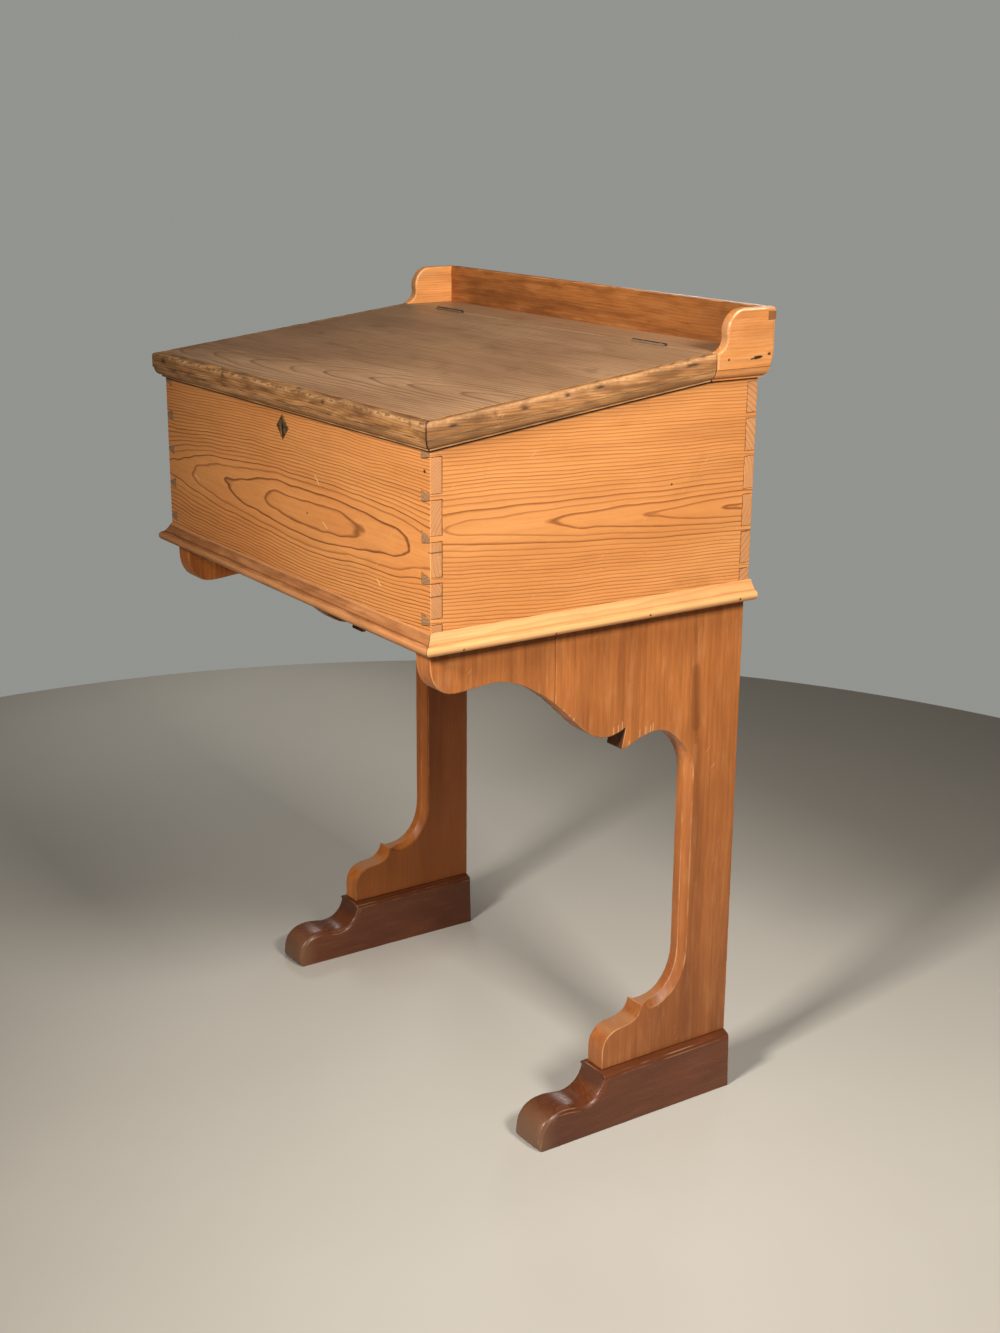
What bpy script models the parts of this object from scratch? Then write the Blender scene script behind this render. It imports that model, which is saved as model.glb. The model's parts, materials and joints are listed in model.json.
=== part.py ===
"""School desk: a dovetailed box with a sloping lid and a gallery, on two shaped leg panels and sled feet."""

import math

import bmesh
import bpy
from mathutils import Vector
from mathutils.geometry import interpolate_bezier

# Sizes are in metres. The front of the desk faces -Y, the floor is Z = 0.
FIT_GAP = 0.0003

# Box of boards
BOX_WIDTH = 0.640
BOX_DEPTH = 0.438
BOX_UNDERSIDE_Z = 0.640
BOX_BACK_HEIGHT = 0.288
BOTTOM_THICK = 0.012
END_WALL_THICK = 0.0145
SIDE_WALL_THICK = 0.0175

# Dovetails: shares are of the wall's height, from its lower edge
PIN_NARROW = 0.006
PIN_WIDE = 0.0127
FRONT_PIN_COUNT = 4
FRONT_PIN_FIRST_SHARE = 0.0963
FRONT_PIN_PITCH_SHARE = 0.2097
FRONT_LAST_TAIL_SHARE = 0.9254
BACK_PIN_COUNT = 5
BACK_PIN_FIRST_SHARE = 0.1046
BACK_PIN_PITCH_SHARE = 0.1730
BACK_LAST_TAIL_SHARE = 0.9497

# Base moulding
BASE_HEIGHT = 0.023
BASE_BELOW_BOX = 0.0015
BASE_OUT = 0.0138
BASE_BEAD_RADIUS = 0.0058
BASE_BEAD_TURN = math.radians(160)
BASE_QUIRK = 0.0012
BASE_TOP_WIDTH = 0.001
BASE_BACK_REACH = 0.003
MITRE_GAP = 0.0008

# Lid, hinged at its back edge
RAIL_DEPTH = 0.0725
LID_SLOPE = math.radians(6.77)
LID_THICK = 0.022
LID_JOINT_GAP = 0.001
LIP_CLEARANCE = 0.001
LID_STRIP_THICK = 0.011
STRIP_ARRIS = 0.0025

# Moulded edge shared by the lid strips and the gallery
FASCIA_DROP = 0.0175
QUIRK = 0.0012
OVOLO_RUN = 0.0075
OVOLO_DROP = 0.0105
FILLET_DROP = 0.0025

# Gallery
GALLERY_SIDE_OUT = 0.014
GALLERY_BACK_OUT = 0.010
GALLERY_BACK_THICK = 0.011
GALLERY_HEIGHT = 0.048
GALLERY_TAIL_TOP = 0.0045
GALLERY_TAIL_HEIGHT = 0.0095
SPLAY_TOP_DROP = 0.0045
SPLAY_LIP = 0.0015

# Butt hinges
HINGE_INSET = 0.1075
LEAF_LENGTH = 0.060
LEAF_HEIGHT = 0.018
LEAF_THICK = 0.0016
LEAF_SPACE = 0.0005
BARREL_RADIUS = 0.003
MIDDLE_KNUCKLE = 0.024
PIN_RADIUS = 0.0014
PIN_CLEARANCE = 0.0001
BARREL_CLEARANCE = 0.0005
LEAF_SCREW_X = 0.020
LEAF_SCREW_DROP = 0.011

# Escutcheon and keyhole: the drop is from the top of the lock
ESCUTCHEON_DROP = 0.028
ESCUTCHEON_SIZE = 0.030
ESCUTCHEON_THICK = 0.0020
ESCUTCHEON_PROUD = 0.0008
ESCUTCHEON_BEVEL = 0.0016
KEYHOLE_RADIUS = 0.0030
KEYHOLE_SLOT_WIDTH = 0.0030
KEYHOLE_SLOT_DROP = 0.0090

# Lock
LOCK_WIDTH = 0.060
LOCK_DEPTH = 0.014
LOCK_HEIGHT = 0.049
LOCK_BELOW_RIM = 0.0029
LOCK_WALL = 0.0018
LOCK_SCREW_X = 0.024
LOCK_SCREW_RISE = 0.006
BOLT_LENGTH = 0.032
BOLT_NOSE = 0.010
BOLT_THICK = 0.0026
BOLT_HEIGHT = 0.005
BOLT_DROP = 0.008
BOLT_FROM_WALL = 0.0068
BOLT_TO_STAPLE = 0.0025
BOLT_TAIL_WIDTH = 0.010
BOLT_TAIL_DROP = 0.009
TALON_RADIUS = 0.0025
LEDGE_THICK = 0.0015
LINK_WIDTH = 0.048
LINK_DEPTH = 0.014
LINK_THICK = 0.002
LINK_SCREW_X = 0.0185
STAPLE_X = 0.012
STAPLE_THICK = 0.003
STAPLE_RIM = 0.0022
STAPLE_CLEARANCE = 0.0004
STAPLE_SWEEP = 0.0032

# Leg panels: shares are of the panel's depth
LEG_INSET = 0.0084
LEG_THICK = 0.029
LEG_BACK_PROUD = 0.0020
LEG_FRONT_SETBACK = 0.0044
LEG_GLUE_SHARE = 0.3756
POST_SHARE = 0.8260
CHAMFER = 0.0082
TENON_BACK_INSET = 0.031
TENON_WIDTH = 0.130
TENON_THICK = 0.012
TENON_LENGTH = 0.040

# Feet
FOOT_HEIGHT = 0.0745
FOOT_THICK = 0.052
FOOT_LENGTH = 0.2955
FOOT_BACK_PROUD = 0.0005
FOOT_EDGE_RUN = 0.0110
FOOT_EDGE_DROP = 0.0062
FOOT_EDGE_MIDDLE_RUN = 0.0030
FOOT_EDGE_MIDDLE_DROP = 0.0026

# Cleats under the box
CLEAT_SIZE = 0.025
CLEAT_END_SETBACK = 0.029
CLEAT_CHAMFER = 0.005
CLEAT_UP_SCREW_SHARES = (-0.316, 0.316)
CLEAT_SIDE_SCREW_SHARES = (-0.395, 0.158)

# Screws: head radius, head height, shank radius, length
LEAF_SCREW = (0.0032, 0.0015, 0.0016, 0.015)
LOCK_SCREW = (0.0030, 0.0015, 0.0014, 0.022)
LINK_SCREW = (0.0030, 0.0015, 0.0014, 0.013)
CLEAT_UP_SCREW = (0.0042, 0.0030, 0.0022, 0.033)
CLEAT_SIDE_SCREW = (0.0042, 0.0030, 0.0022, 0.044)
SCREW_RIM_SHARE = 0.1
SCREW_STRAIGHT_SHARE = 0.8
SCREW_POINT_SHARE = 0.35
SCREW_CLEARANCE = 0.0002
SLOT_WIDTH = 0.0008
SLOT_DEPTH = 0.0007
CUT_PAST = 0.002

ROUND_STEPS = 16
CURVE_STEPS = 8
ARRIS_STEPS = 3

# Finishes: colour, roughness, metallic
HONEY_PINE = ((0.72, 0.30, 0.09), 0.50, 0.0)
DARK_PINE = ((0.33, 0.12, 0.035), 0.50, 0.0)
WORN_PINE = ((0.30, 0.17, 0.09), 0.55, 0.0)
YELLOW_PINE = ((0.62, 0.31, 0.11), 0.50, 0.0)
RED_PINE = ((0.42, 0.15, 0.045), 0.42, 0.0)
MAHOGANY = ((0.16, 0.055, 0.025), 0.35, 0.0)
RAW_PINE = ((0.48, 0.26, 0.11), 0.65, 0.0)
OLD_BRASS = ((0.34, 0.23, 0.09), 0.40, 1.0)
IRON = ((0.10, 0.09, 0.085), 0.50, 1.0)

HALF_WIDTH = BOX_WIDTH / 2
HALF_DEPTH = BOX_DEPTH / 2
WALL_BASE = BOTTOM_THICK + FIT_GAP
INNER_HALF_WIDTH = HALF_WIDTH - SIDE_WALL_THICK
INNER_HALF_DEPTH = HALF_DEPTH - END_WALL_THICK
HINGE_X = HALF_WIDTH - HINGE_INSET
HINGE_Y = HALF_DEPTH - RAIL_DEPTH
HINGE_Z = BOX_UNDERSIDE_Z + BOX_BACK_HEIGHT
RIM_DROP = LID_THICK / math.cos(LID_SLOPE) + FIT_GAP
EDGE_DROP = FASCIA_DROP + OVOLO_DROP + FILLET_DROP
BARREL_HOLE = PIN_RADIUS + PIN_CLEARANCE
LOCK_FACE_Y = -INNER_HALF_DEPTH + FIT_GAP
BOLT_Y = LOCK_FACE_Y + BOLT_FROM_WALL
LEG_TOP_Z = BOX_UNDERSIDE_Z - FIT_GAP
LEG_FOOT_Z = FOOT_HEIGHT + FIT_GAP
LEG_MIDDLE_X = HALF_WIDTH - LEG_INSET - LEG_THICK / 2
LEG_BACK_Y = HALF_DEPTH + LEG_BACK_PROUD
LEG_FRONT_Y = -HALF_DEPTH + LEG_FRONT_SETBACK
LEG_DEPTH = LEG_BACK_Y - LEG_FRONT_Y
LEG_GLUE_Y = LEG_FRONT_Y + LEG_GLUE_SHARE * LEG_DEPTH
TENON_BACK_Y = LEG_BACK_Y - TENON_BACK_INSET
TENON_FRONT_Y = TENON_BACK_Y - TENON_WIDTH
FOOT_BACK_Y = LEG_BACK_Y + FOOT_BACK_PROUD
CLEAT_LENGTH = BOX_DEPTH - 2 * CLEAT_END_SETBACK

for old in list(bpy.data.objects):
    bpy.data.objects.remove(old)


def frame(name, place, turn=(0.0, 0.0, 0.0)):
    """An empty that carries a group of pieces."""
    empty = bpy.data.objects.new(name, None)
    empty.location = place
    empty.rotation_euler = turn
    bpy.context.scene.collection.objects.link(empty)
    return empty


def material(name, finish):
    colour, roughness, metallic = finish
    made = bpy.data.materials.new(name)
    made.use_nodes = True
    shader = made.node_tree.nodes["Principled BSDF"]
    shader.inputs["Base Color"].default_value = (*colour, 1.0)
    shader.inputs["Roughness"].default_value = roughness
    shader.inputs["Metallic"].default_value = metallic
    return made


def loft(name, rings, parent, finish=None, smooth=False):
    """A closed solid through rings of points; without a finish it is a cutter."""
    mesh = bpy.data.meshes.new(name)
    work = bmesh.new()
    loops = [[work.verts.new(point) for point in ring] for ring in rings]
    work.faces.new(loops[0])
    work.faces.new(loops[-1])
    for near, far in zip(loops, loops[1:]):
        for i in range(len(near)):
            j = (i + 1) % len(near)
            side = work.faces.new((near[i], near[j], far[j], far[i]))
            side.smooth = smooth
    bmesh.ops.recalc_face_normals(work, faces=work.faces)
    work.to_mesh(mesh)
    work.free()
    piece = bpy.data.objects.new(name, mesh)
    piece.parent = parent
    bpy.context.scene.collection.objects.link(piece)
    if finish:
        mesh.materials.append(material(name, finish))
    else:
        piece.hide_render = True
        piece.display_type = "WIRE"
    return piece


def prism(name, axis, outline, start, end, parent, finish=None):
    """An outline carried along one axis: (Y, Z) along X, (X, Z) along Y, (X, Y) along Z."""
    order = {"X": (2, 0, 1), "Y": (0, 2, 1), "Z": (0, 1, 2)}[axis]
    rings = []
    for along in (start, end):
        rings.append([tuple((u, v, along)[k] for k in order) for u, v in outline])
    return loft(name, rings, parent, finish)


def block(name, low, high, parent, finish=None):
    """A box between two opposite corners."""
    (x0, y0, z0), (x1, y1, z1) = low, high
    outline = [(y0, z0), (y1, z0), (y1, z1), (y0, z1)]
    return prism(name, "X", outline, x0, x1, parent, finish)


def circle(radius):
    turns = [2 * math.pi * k / ROUND_STEPS for k in range(ROUND_STEPS)]
    return [(radius * math.cos(a), radius * math.sin(a)) for a in turns]


def turned(name, profile, parent, finish=None):
    """A round solid about local Z through (radius, height) levels."""
    rings = [[(x, y, height) for x, y in circle(radius)] for radius, height in profile]
    return loft(name, rings, parent, finish, smooth=True)


def combine(piece, tools, operation="DIFFERENCE"):
    for tool in tools:
        step = piece.modifiers.new(tool.name, "BOOLEAN")
        step.operation = operation
        step.solver = "EXACT"
        step.object = tool


def curve(*points):
    """Points along Bezier spans that share their ends, without the last end."""
    outline = []
    for k in range(0, len(points) - 1, 3):
        corners = [Vector((*point, 0.0)) for point in points[k : k + 4]]
        outline += [(p.x, p.y) for p in interpolate_bezier(*corners, CURVE_STEPS + 1)[:-1]]
    return outline


def placed(shares, corner, size):
    """Points given as shares of a piece's size, from its corner."""
    return [(corner[0] + u * size[0], corner[1] + v * size[1]) for u, v in shares]


def screw_profile(sizes, extra=0.0):
    head_radius, head_height, shank_radius, length = sizes
    return [
        (head_radius + extra, CUT_PAST if extra else 0.0),
        (head_radius + extra, -SCREW_RIM_SHARE * head_height - extra),
        (shank_radius + extra, -head_height - extra),
        (shank_radius + extra, -SCREW_STRAIGHT_SHARE * length),
        (SCREW_POINT_SHARE * shank_radius + extra, -length - extra),
    ]


def screw(name, sizes, parent, place, direction, finish, through):
    """A slotted countersunk screw with its head at place, and its hole in each piece it goes through."""
    turn = Vector((0, 0, -1)).rotation_difference(Vector(direction)).to_euler()
    body = turned(name, screw_profile(sizes), parent, finish)
    slot_end = sizes[0] + CUT_PAST
    slot = block(
        name + "_slot_cut",
        (-slot_end, -SLOT_WIDTH / 2, -SLOT_DEPTH),
        (slot_end, SLOT_WIDTH / 2, CUT_PAST),
        body,
    )
    combine(body, [slot])
    hole = turned(name + "_hole_cut", screw_profile(sizes, SCREW_CLEARANCE), parent)
    for made in (body, hole):
        made.location = place
        made.rotation_euler = turn
    for piece in through:
        combine(piece, [hole])


# Box: coordinates from the middle of the box's underside
carcase = frame("carcase", (0, 0, BOX_UNDERSIDE_Z))
bottom_board = block(
    "bottom_board",
    (-HALF_WIDTH, -HALF_DEPTH, 0),
    (HALF_WIDTH, HALF_DEPTH, BOTTOM_THICK),
    carcase,
    RAW_PINE,
)


def rim_height(y):
    """Height of the walls' upper edge under the lid, and level under the rail."""
    run = max(HINGE_Y - y, 0.0)
    return HINGE_Z - BOX_UNDERSIDE_Z - RIM_DROP - run * math.tan(LID_SLOPE)


def wall_outline(y0, y1):
    turn = [(HINGE_Y, rim_height(HINGE_Y))] if y0 < HINGE_Y < y1 else []
    return [(y0, WALL_BASE), (y1, WALL_BASE), (y1, rim_height(y1)), *turn, (y0, rim_height(y0))]


front_wall = wall_outline(-HALF_DEPTH, -INNER_HALF_DEPTH)
front_board = prism("front_board", "X", front_wall, -HALF_WIDTH, HALF_WIDTH, carcase, HONEY_PINE)
back_wall = wall_outline(INNER_HALF_DEPTH, HALF_DEPTH)
back_board = prism("back_board", "X", back_wall, -HALF_WIDTH, HALF_WIDTH, carcase, HONEY_PINE)
side_boards = {}
for word, side in (("left", -1), ("right", 1)):
    side_boards[side] = prism(
        word + "_side_board",
        "X",
        wall_outline(-HALF_DEPTH, HALF_DEPTH),
        side * INNER_HALF_WIDTH,
        side * HALF_WIDTH,
        carcase,
        HONEY_PINE,
    )


def pin_half(x):
    """Half the height of a pin, which narrows towards the outer face of the side board."""
    taper = (PIN_WIDE - PIN_NARROW) / 2 / SIDE_WALL_THICK
    return PIN_NARROW / 2 + (HALF_WIDTH - x) * taper


def dovetail(end_wall, word, end, count, first, pitch, last_tail):
    """Pins left on both side boards at one end wall, and their sockets in that wall."""
    outer, inner = HALF_WIDTH + CUT_PAST, INNER_HALF_WIDTH
    height = rim_height(end * HALF_DEPTH) - WALL_BASE
    centres = [WALL_BASE + (first + k * pitch) * height for k in range(count)]
    top = WALL_BASE + last_tail * height
    wall_y = sorted((end * (HALF_DEPTH + CUT_PAST), end * (INNER_HALF_DEPTH - CUT_PAST)))
    tail_y = sorted((end * (HALF_DEPTH + CUT_PAST), end * (INNER_HALF_DEPTH - FIT_GAP)))
    for name, side in (("left", -1), ("right", 1)):
        label = f"{word}_{name}"
        wall_x, tail_x = inner - FIT_GAP, inner - CUT_PAST
        for k, centre in enumerate(centres):
            reach = [(x, pin_half(x) + FIT_GAP) for x in (wall_x, outer)]
            outline = [(side * x, centre - h) for x, h in reach]
            outline += [(side * x, centre + h) for x, h in reversed(reach)]
            combine(end_wall, [prism(f"{label}_socket_cut_{k}", "Y", outline, *wall_y, carcase)])
        slope = pin_half(wall_x) - pin_half(outer)
        outline = [(side * wall_x, top - slope - FIT_GAP), (side * outer, top - FIT_GAP)]
        outline += [(side * outer, 1.0), (side * wall_x, 1.0)]
        combine(end_wall, [prism(f"{label}_top_socket_cut", "Y", outline, *wall_y, carcase)])
        for k in range(count + 1):
            reach = [(x, pin_half(x)) for x in (tail_x, outer)]
            lows = [centres[k - 1] + h for x, h in reach] if k else [WALL_BASE - CUT_PAST] * 2
            highs = [centres[k] - h for x, h in reach] if k < count else [top - slope, top]
            outline = [(side * tail_x, lows[0]), (side * outer, lows[1])]
            outline += [(side * outer, highs[1]), (side * tail_x, highs[0])]
            combine(side_boards[side], [prism(f"{label}_tail_cut_{k}", "Y", outline, *tail_y, carcase)])


front_pins = (FRONT_PIN_COUNT, FRONT_PIN_FIRST_SHARE, FRONT_PIN_PITCH_SHARE, FRONT_LAST_TAIL_SHARE)
dovetail(front_board, "front", -1, *front_pins)
back_pins = (BACK_PIN_COUNT, BACK_PIN_FIRST_SHARE, BACK_PIN_PITCH_SHARE, BACK_LAST_TAIL_SHARE)
dovetail(back_board, "back", 1, *back_pins)

# Base moulding: (distance out from the box, height above the moulding's lower edge),
# with a bead at the bottom, a quirk over it, then a hollow slope to the top
base_profile = [(0.0, 0.0)]
for k in range(CURVE_STEPS + 1):
    angle = BASE_BEAD_TURN * k / CURVE_STEPS - math.pi / 2
    out = BASE_OUT - BASE_BEAD_RADIUS * (1 - math.cos(angle))
    base_profile.append((out, BASE_BEAD_RADIUS * (1 + math.sin(angle))))
bead_out, bead_top = base_profile[-1]
base_top = (BASE_TOP_WIDTH, BASE_HEIGHT)
hollow = placed([(0.4058, 0.6304), (0.2174, 0.7957)], (0.0, 0.0), (BASE_OUT, BASE_HEIGHT))
base_profile += curve((bead_out - BASE_QUIRK, bead_top), *hollow, base_top)
base_profile += [base_top, (0.0, BASE_HEIGHT)]


def edging(name, profile, half, front, back, parent, finish):
    """Front, left and right lengths of one (out, up) profile, mitred at the front corners.

    The front and back ends are functions of the height in the profile.
    """
    front_ends = []
    for word, side in (("left", -1), ("right", 1)):
        corner, mitred, square = [], [], []
        for out, up in profile:
            x = half + FIT_GAP + out
            y = front(up) - FIT_GAP - out
            corner.append((side * (x - MITRE_GAP / 2), y, up))
            mitred.append((side * x, y + MITRE_GAP / 2, up))
            square.append((side * x, back(up), up))
        front_ends.append(corner)
        loft(f"{name}_{word}", [mitred, square], parent, finish)
    loft(name + "_front", front_ends, parent, finish)


def base_front(up):
    return -HALF_DEPTH


def base_back(up):
    return HALF_DEPTH + BASE_BACK_REACH


base_profile = [(out, up - BASE_BELOW_BOX) for out, up in base_profile]
edging("base_moulding", base_profile, HALF_WIDTH, base_front, base_back, carcase, YELLOW_PINE)


def edge_profile():
    """Moulded edge from its quirk down: (distance in from the outer face, drop below the top)."""
    points = [(0.0, FASCIA_DROP)]
    for k in range(CURVE_STEPS + 1):
        angle = math.pi / 2 * k / CURVE_STEPS
        inward = QUIRK + OVOLO_RUN * (1 - math.cos(angle))
        points.append((inward, FASCIA_DROP + OVOLO_DROP * math.sin(angle)))
    return points + [(QUIRK + OVOLO_RUN, EDGE_DROP)]


# Lid: coordinates from the hinge axis, with local Y along the slope
lid = frame("lid", (0, HINGE_Y, HINGE_Z), (LID_SLOPE, 0, 0))
PANEL_HALF = HALF_WIDTH + LIP_CLEARANCE
PANEL_LENGTH = (HINGE_Y + HALF_DEPTH + LIP_CLEARANCE) / math.cos(LID_SLOPE)


def lid_back(up):
    """Local Y of the lid's back edge, which is upright when the lid is shut."""
    return -LID_JOINT_GAP / 2 + up * math.tan(LID_SLOPE)


def lid_front(up):
    """Local Y of the panel's front edge, which is upright when the lid is shut."""
    return -PANEL_LENGTH + up * math.tan(LID_SLOPE)


lid_outline = [(lid_front(0), 0), (lid_front(-LID_THICK), -LID_THICK)]
lid_outline += [(lid_back(-LID_THICK), -LID_THICK), (lid_back(0), 0)]
lid_panel = prism("lid_panel", "X", lid_outline, -PANEL_HALF, PANEL_HALF, lid, WORN_PINE)

strip_profile = [(0.0, 0.0)]
for k in range(ARRIS_STEPS + 1):
    angle = math.pi / 2 * k / ARRIS_STEPS
    out = LID_STRIP_THICK - STRIP_ARRIS * (1 - math.sin(angle))
    strip_profile.append((out, -STRIP_ARRIS * (1 - math.cos(angle))))
strip_profile += [(LID_STRIP_THICK - inward, -drop) for inward, drop in edge_profile()]
strip_profile += [(0.0, -EDGE_DROP)]

edging("lid_moulding", strip_profile, PANEL_HALF, lid_front, lid_back, lid, WORN_PINE)

# Gallery: coordinates from the hinge axis, level
gallery = frame("gallery", (0, HINGE_Y, HINGE_Z))
RAIL_FRONT = LID_JOINT_GAP / 2
END_INNER = HALF_WIDTH + LIP_CLEARANCE
RAIL_HALF = END_INNER - FIT_GAP
GALLERY_OUTER = HALF_WIDTH + GALLERY_SIDE_OUT
BACK_OUTER = HALF_DEPTH + GALLERY_BACK_OUT - HINGE_Y
BACK_INNER = BACK_OUTER - GALLERY_BACK_THICK
BOX_BACK = HALF_DEPTH - HINGE_Y + FIT_GAP

hinge_rail = block(
    "hinge_rail",
    (-RAIL_HALF, RAIL_FRONT, -LID_THICK),
    (RAIL_HALF, BACK_INNER - FIT_GAP, 0),
    gallery,
    DARK_PINE,
)
back_face = [(BACK_OUTER, -SPLAY_TOP_DROP), (BOX_BACK + SPLAY_LIP, -EDGE_DROP)]
back_outline = [(BACK_INNER, GALLERY_HEIGHT), (BACK_OUTER, GALLERY_HEIGHT), *back_face]
back_outline += [(BOX_BACK, -EDGE_DROP), (BOX_BACK, -LID_THICK), (BACK_INNER, -LID_THICK)]
gallery_back = prism("gallery_back", "X", back_outline, -RAIL_HALF, RAIL_HALF, gallery, DARK_PINE)

scroll_end = (0.4300, 1.0)
scroll = curve(
    (0.0, 0.0312), (0.0750, 0.0500), (0.1580, 0.1700),
    (0.1580, 0.3300), (0.1580, 0.4000), (0.1500, 0.4300),
    (0.1500, 0.5000), (0.1500, 0.7400), (0.2700, 1.0),
    scroll_end,
)
scroll = placed([*scroll, scroll_end], (RAIL_FRONT, 0.0), (BACK_OUTER - RAIL_FRONT, GALLERY_HEIGHT))
TAIL_HIGH = GALLERY_HEIGHT - GALLERY_TAIL_TOP
TAIL_LOW = TAIL_HIGH - GALLERY_TAIL_HEIGHT
for word, side in (("left", -1), ("right", 1)):
    ends = sorted((side * (RAIL_HALF - CUT_PAST), side * GALLERY_OUTER))
    tail = block(
        word + "_tail_add",
        (ends[0], BACK_INNER, TAIL_LOW),
        (ends[1], BACK_OUTER, TAIL_HIGH),
        gallery,
    )
    combine(gallery_back, [tail], "UNION")

    outline = [(RAIL_FRONT, -EDGE_DROP), *scroll, (BACK_OUTER, GALLERY_HEIGHT), *back_face]
    inner = side * END_INNER
    end_piece = prism(f"gallery_{word}_end", "X", outline, inner, side * GALLERY_OUTER, gallery, HONEY_PINE)

    moulded = [(side * GALLERY_OUTER, GALLERY_HEIGHT + CUT_PAST)]
    moulded += [(side * (GALLERY_OUTER - inward), -drop) for inward, drop in edge_profile()]
    foot_x = side * (GALLERY_OUTER - QUIRK - OVOLO_RUN)
    moulded += [(foot_x, -EDGE_DROP - CUT_PAST), (inner - side * CUT_PAST, -EDGE_DROP - CUT_PAST)]
    moulded += [(inner - side * CUT_PAST, GALLERY_HEIGHT + CUT_PAST)]
    keep = prism(word + "_profile_keep", "Y", moulded, -CUT_PAST, BACK_OUTER + CUT_PAST, gallery)
    combine(end_piece, [keep], "INTERSECT")
    ends = sorted((inner - side * CUT_PAST, side * (GALLERY_OUTER + CUT_PAST)))
    notch = block(
        word + "_tail_cut",
        (ends[0], BACK_INNER - FIT_GAP, TAIL_LOW - FIT_GAP),
        (ends[1], BACK_OUTER + CUT_PAST, TAIL_HIGH + FIT_GAP),
        gallery,
    )
    combine(end_piece, [notch])

# Hinges: coordinates from the hinge axis, local X along it
OUTER_KNUCKLE = (LEAF_LENGTH - MIDDLE_KNUCKLE) / 2
NECK_TOP = -(BARREL_HOLE + BARREL_RADIUS) / 2
PLATE_TOP = -BARREL_RADIUS - BARREL_CLEARANCE
middle_span = (-MIDDLE_KNUCKLE / 2 + FIT_GAP, MIDDLE_KNUCKLE / 2 - FIT_GAP)
outer_spans = [(-LEAF_LENGTH / 2, -MIDDLE_KNUCKLE / 2), (MIDDLE_KNUCKLE / 2, LEAF_LENGTH / 2)]
leaf_kinds = (("rail", 1, hinge_rail, outer_spans), ("lid", -1, lid_panel, [middle_span]))
pin_ends = [(PIN_RADIUS, -LEAF_LENGTH / 2), (PIN_RADIUS, LEAF_LENGTH / 2)]

for word, side in (("left", -1), ("right", 1)):
    hinge = frame(word + "_hinge", (side * HINGE_X, HINGE_Y, HINGE_Z))
    barrel_room = prism(
        word + "_barrel_cut",
        "X",
        circle(BARREL_RADIUS + BARREL_CLEARANCE),
        -LEAF_LENGTH / 2 - FIT_GAP,
        LEAF_LENGTH / 2 + FIT_GAP,
        hinge,
    )
    for kind, way, wood, spans in leaf_kinds:
        near, far = way * LEAF_SPACE / 2, way * (LEAF_SPACE / 2 + LEAF_THICK)
        y0, y1 = sorted((near, far))
        leaf = block(
            f"{word}_{kind}_leaf",
            (-LEAF_LENGTH / 2, y0, -LEAF_HEIGHT),
            (LEAF_LENGTH / 2, y1, PLATE_TOP),
            hinge,
            IRON,
        )
        for k, (x0, x1) in enumerate(spans):
            label = f"{word}_{kind}_{k}"
            neck = block(label + "_neck_add", (x0, y0, PLATE_TOP - FIT_GAP), (x1, y1, NECK_TOP), hinge)
            knuckle = prism(label + "_knuckle_add", "X", circle(BARREL_RADIUS), x0, x1, hinge)
            combine(leaf, [neck, knuckle], "UNION")
        bore = prism(f"{word}_{kind}_bore_cut", "X", circle(BARREL_HOLE), -LEAF_LENGTH, LEAF_LENGTH, hinge)
        combine(leaf, [bore])
        y0, y1 = sorted((-way * LEAF_SPACE, far + way * FIT_GAP))
        mortise = block(
            f"{word}_{kind}_mortise_cut",
            (-LEAF_LENGTH / 2 - FIT_GAP, y0, -LEAF_HEIGHT - FIT_GAP),
            (LEAF_LENGTH / 2 + FIT_GAP, y1, CUT_PAST),
            hinge,
        )
        combine(wood, [mortise, barrel_room])
        for k, end in enumerate((-1, 1)):
            place = (end * LEAF_SCREW_X, near, -LEAF_SCREW_DROP)
            name = f"{word}_{kind}_leaf_screw_{k + 1}"
            screw(name, LEAF_SCREW, hinge, place, (0, way, 0), IRON, [leaf, wood])
    pin = turned(word + "_hinge_pin", pin_ends, hinge, IRON)
    pin.rotation_euler = (0, math.pi / 2, 0)

# Escutcheon let into the front board, and the keyhole behind it
LOCK_TOP_Z = BOX_UNDERSIDE_Z + rim_height(-INNER_HALF_DEPTH) - LOCK_BELOW_RIM
LOCK_BOTTOM_Z = LOCK_TOP_Z - LOCK_HEIGHT
BOLT_Z = LOCK_TOP_Z - BOLT_DROP
BOLT_END_X = STAPLE_X - STAPLE_THICK / 2 - BOLT_TO_STAPLE
keyplate = frame("keyplate", (0, -HALF_DEPTH, LOCK_TOP_Z - ESCUTCHEON_DROP))


def diamond(half):
    return [(half, 0), (0, half), (-half, 0), (0, -half)]


half = ESCUTCHEON_SIZE / 2
levels = [
    (half, ESCUTCHEON_THICK - ESCUTCHEON_PROUD),
    (half, 0.0),
    (half - ESCUTCHEON_BEVEL, -ESCUTCHEON_PROUD),
]
rings = [[(x, y, z) for x, z in diamond(size)] for size, y in levels]
escutcheon = loft("escutcheon", rings, keyplate, OLD_BRASS)
recess = prism(
    "escutcheon_recess_cut",
    "Y",
    diamond(half + FIT_GAP),
    -CUT_PAST,
    ESCUTCHEON_THICK - ESCUTCHEON_PROUD + FIT_GAP,
    keyplate,
)
round_end = [(x, z) for x, z in circle(KEYHOLE_RADIUS) if z > -0.5 * KEYHOLE_RADIUS]
round_end.sort(key=lambda p: math.atan2(p[0], p[1]))
slot_half = KEYHOLE_SLOT_WIDTH / 2
keyhole = [(-slot_half, -KEYHOLE_SLOT_DROP), *round_end, (slot_half, -KEYHOLE_SLOT_DROP)]
key_cut = prism("keyhole_cut", "Y", keyhole, -CUT_PAST, END_WALL_THICK + CUT_PAST, keyplate)
combine(front_board, [recess, key_cut])
combine(escutcheon, [key_cut])

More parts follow.
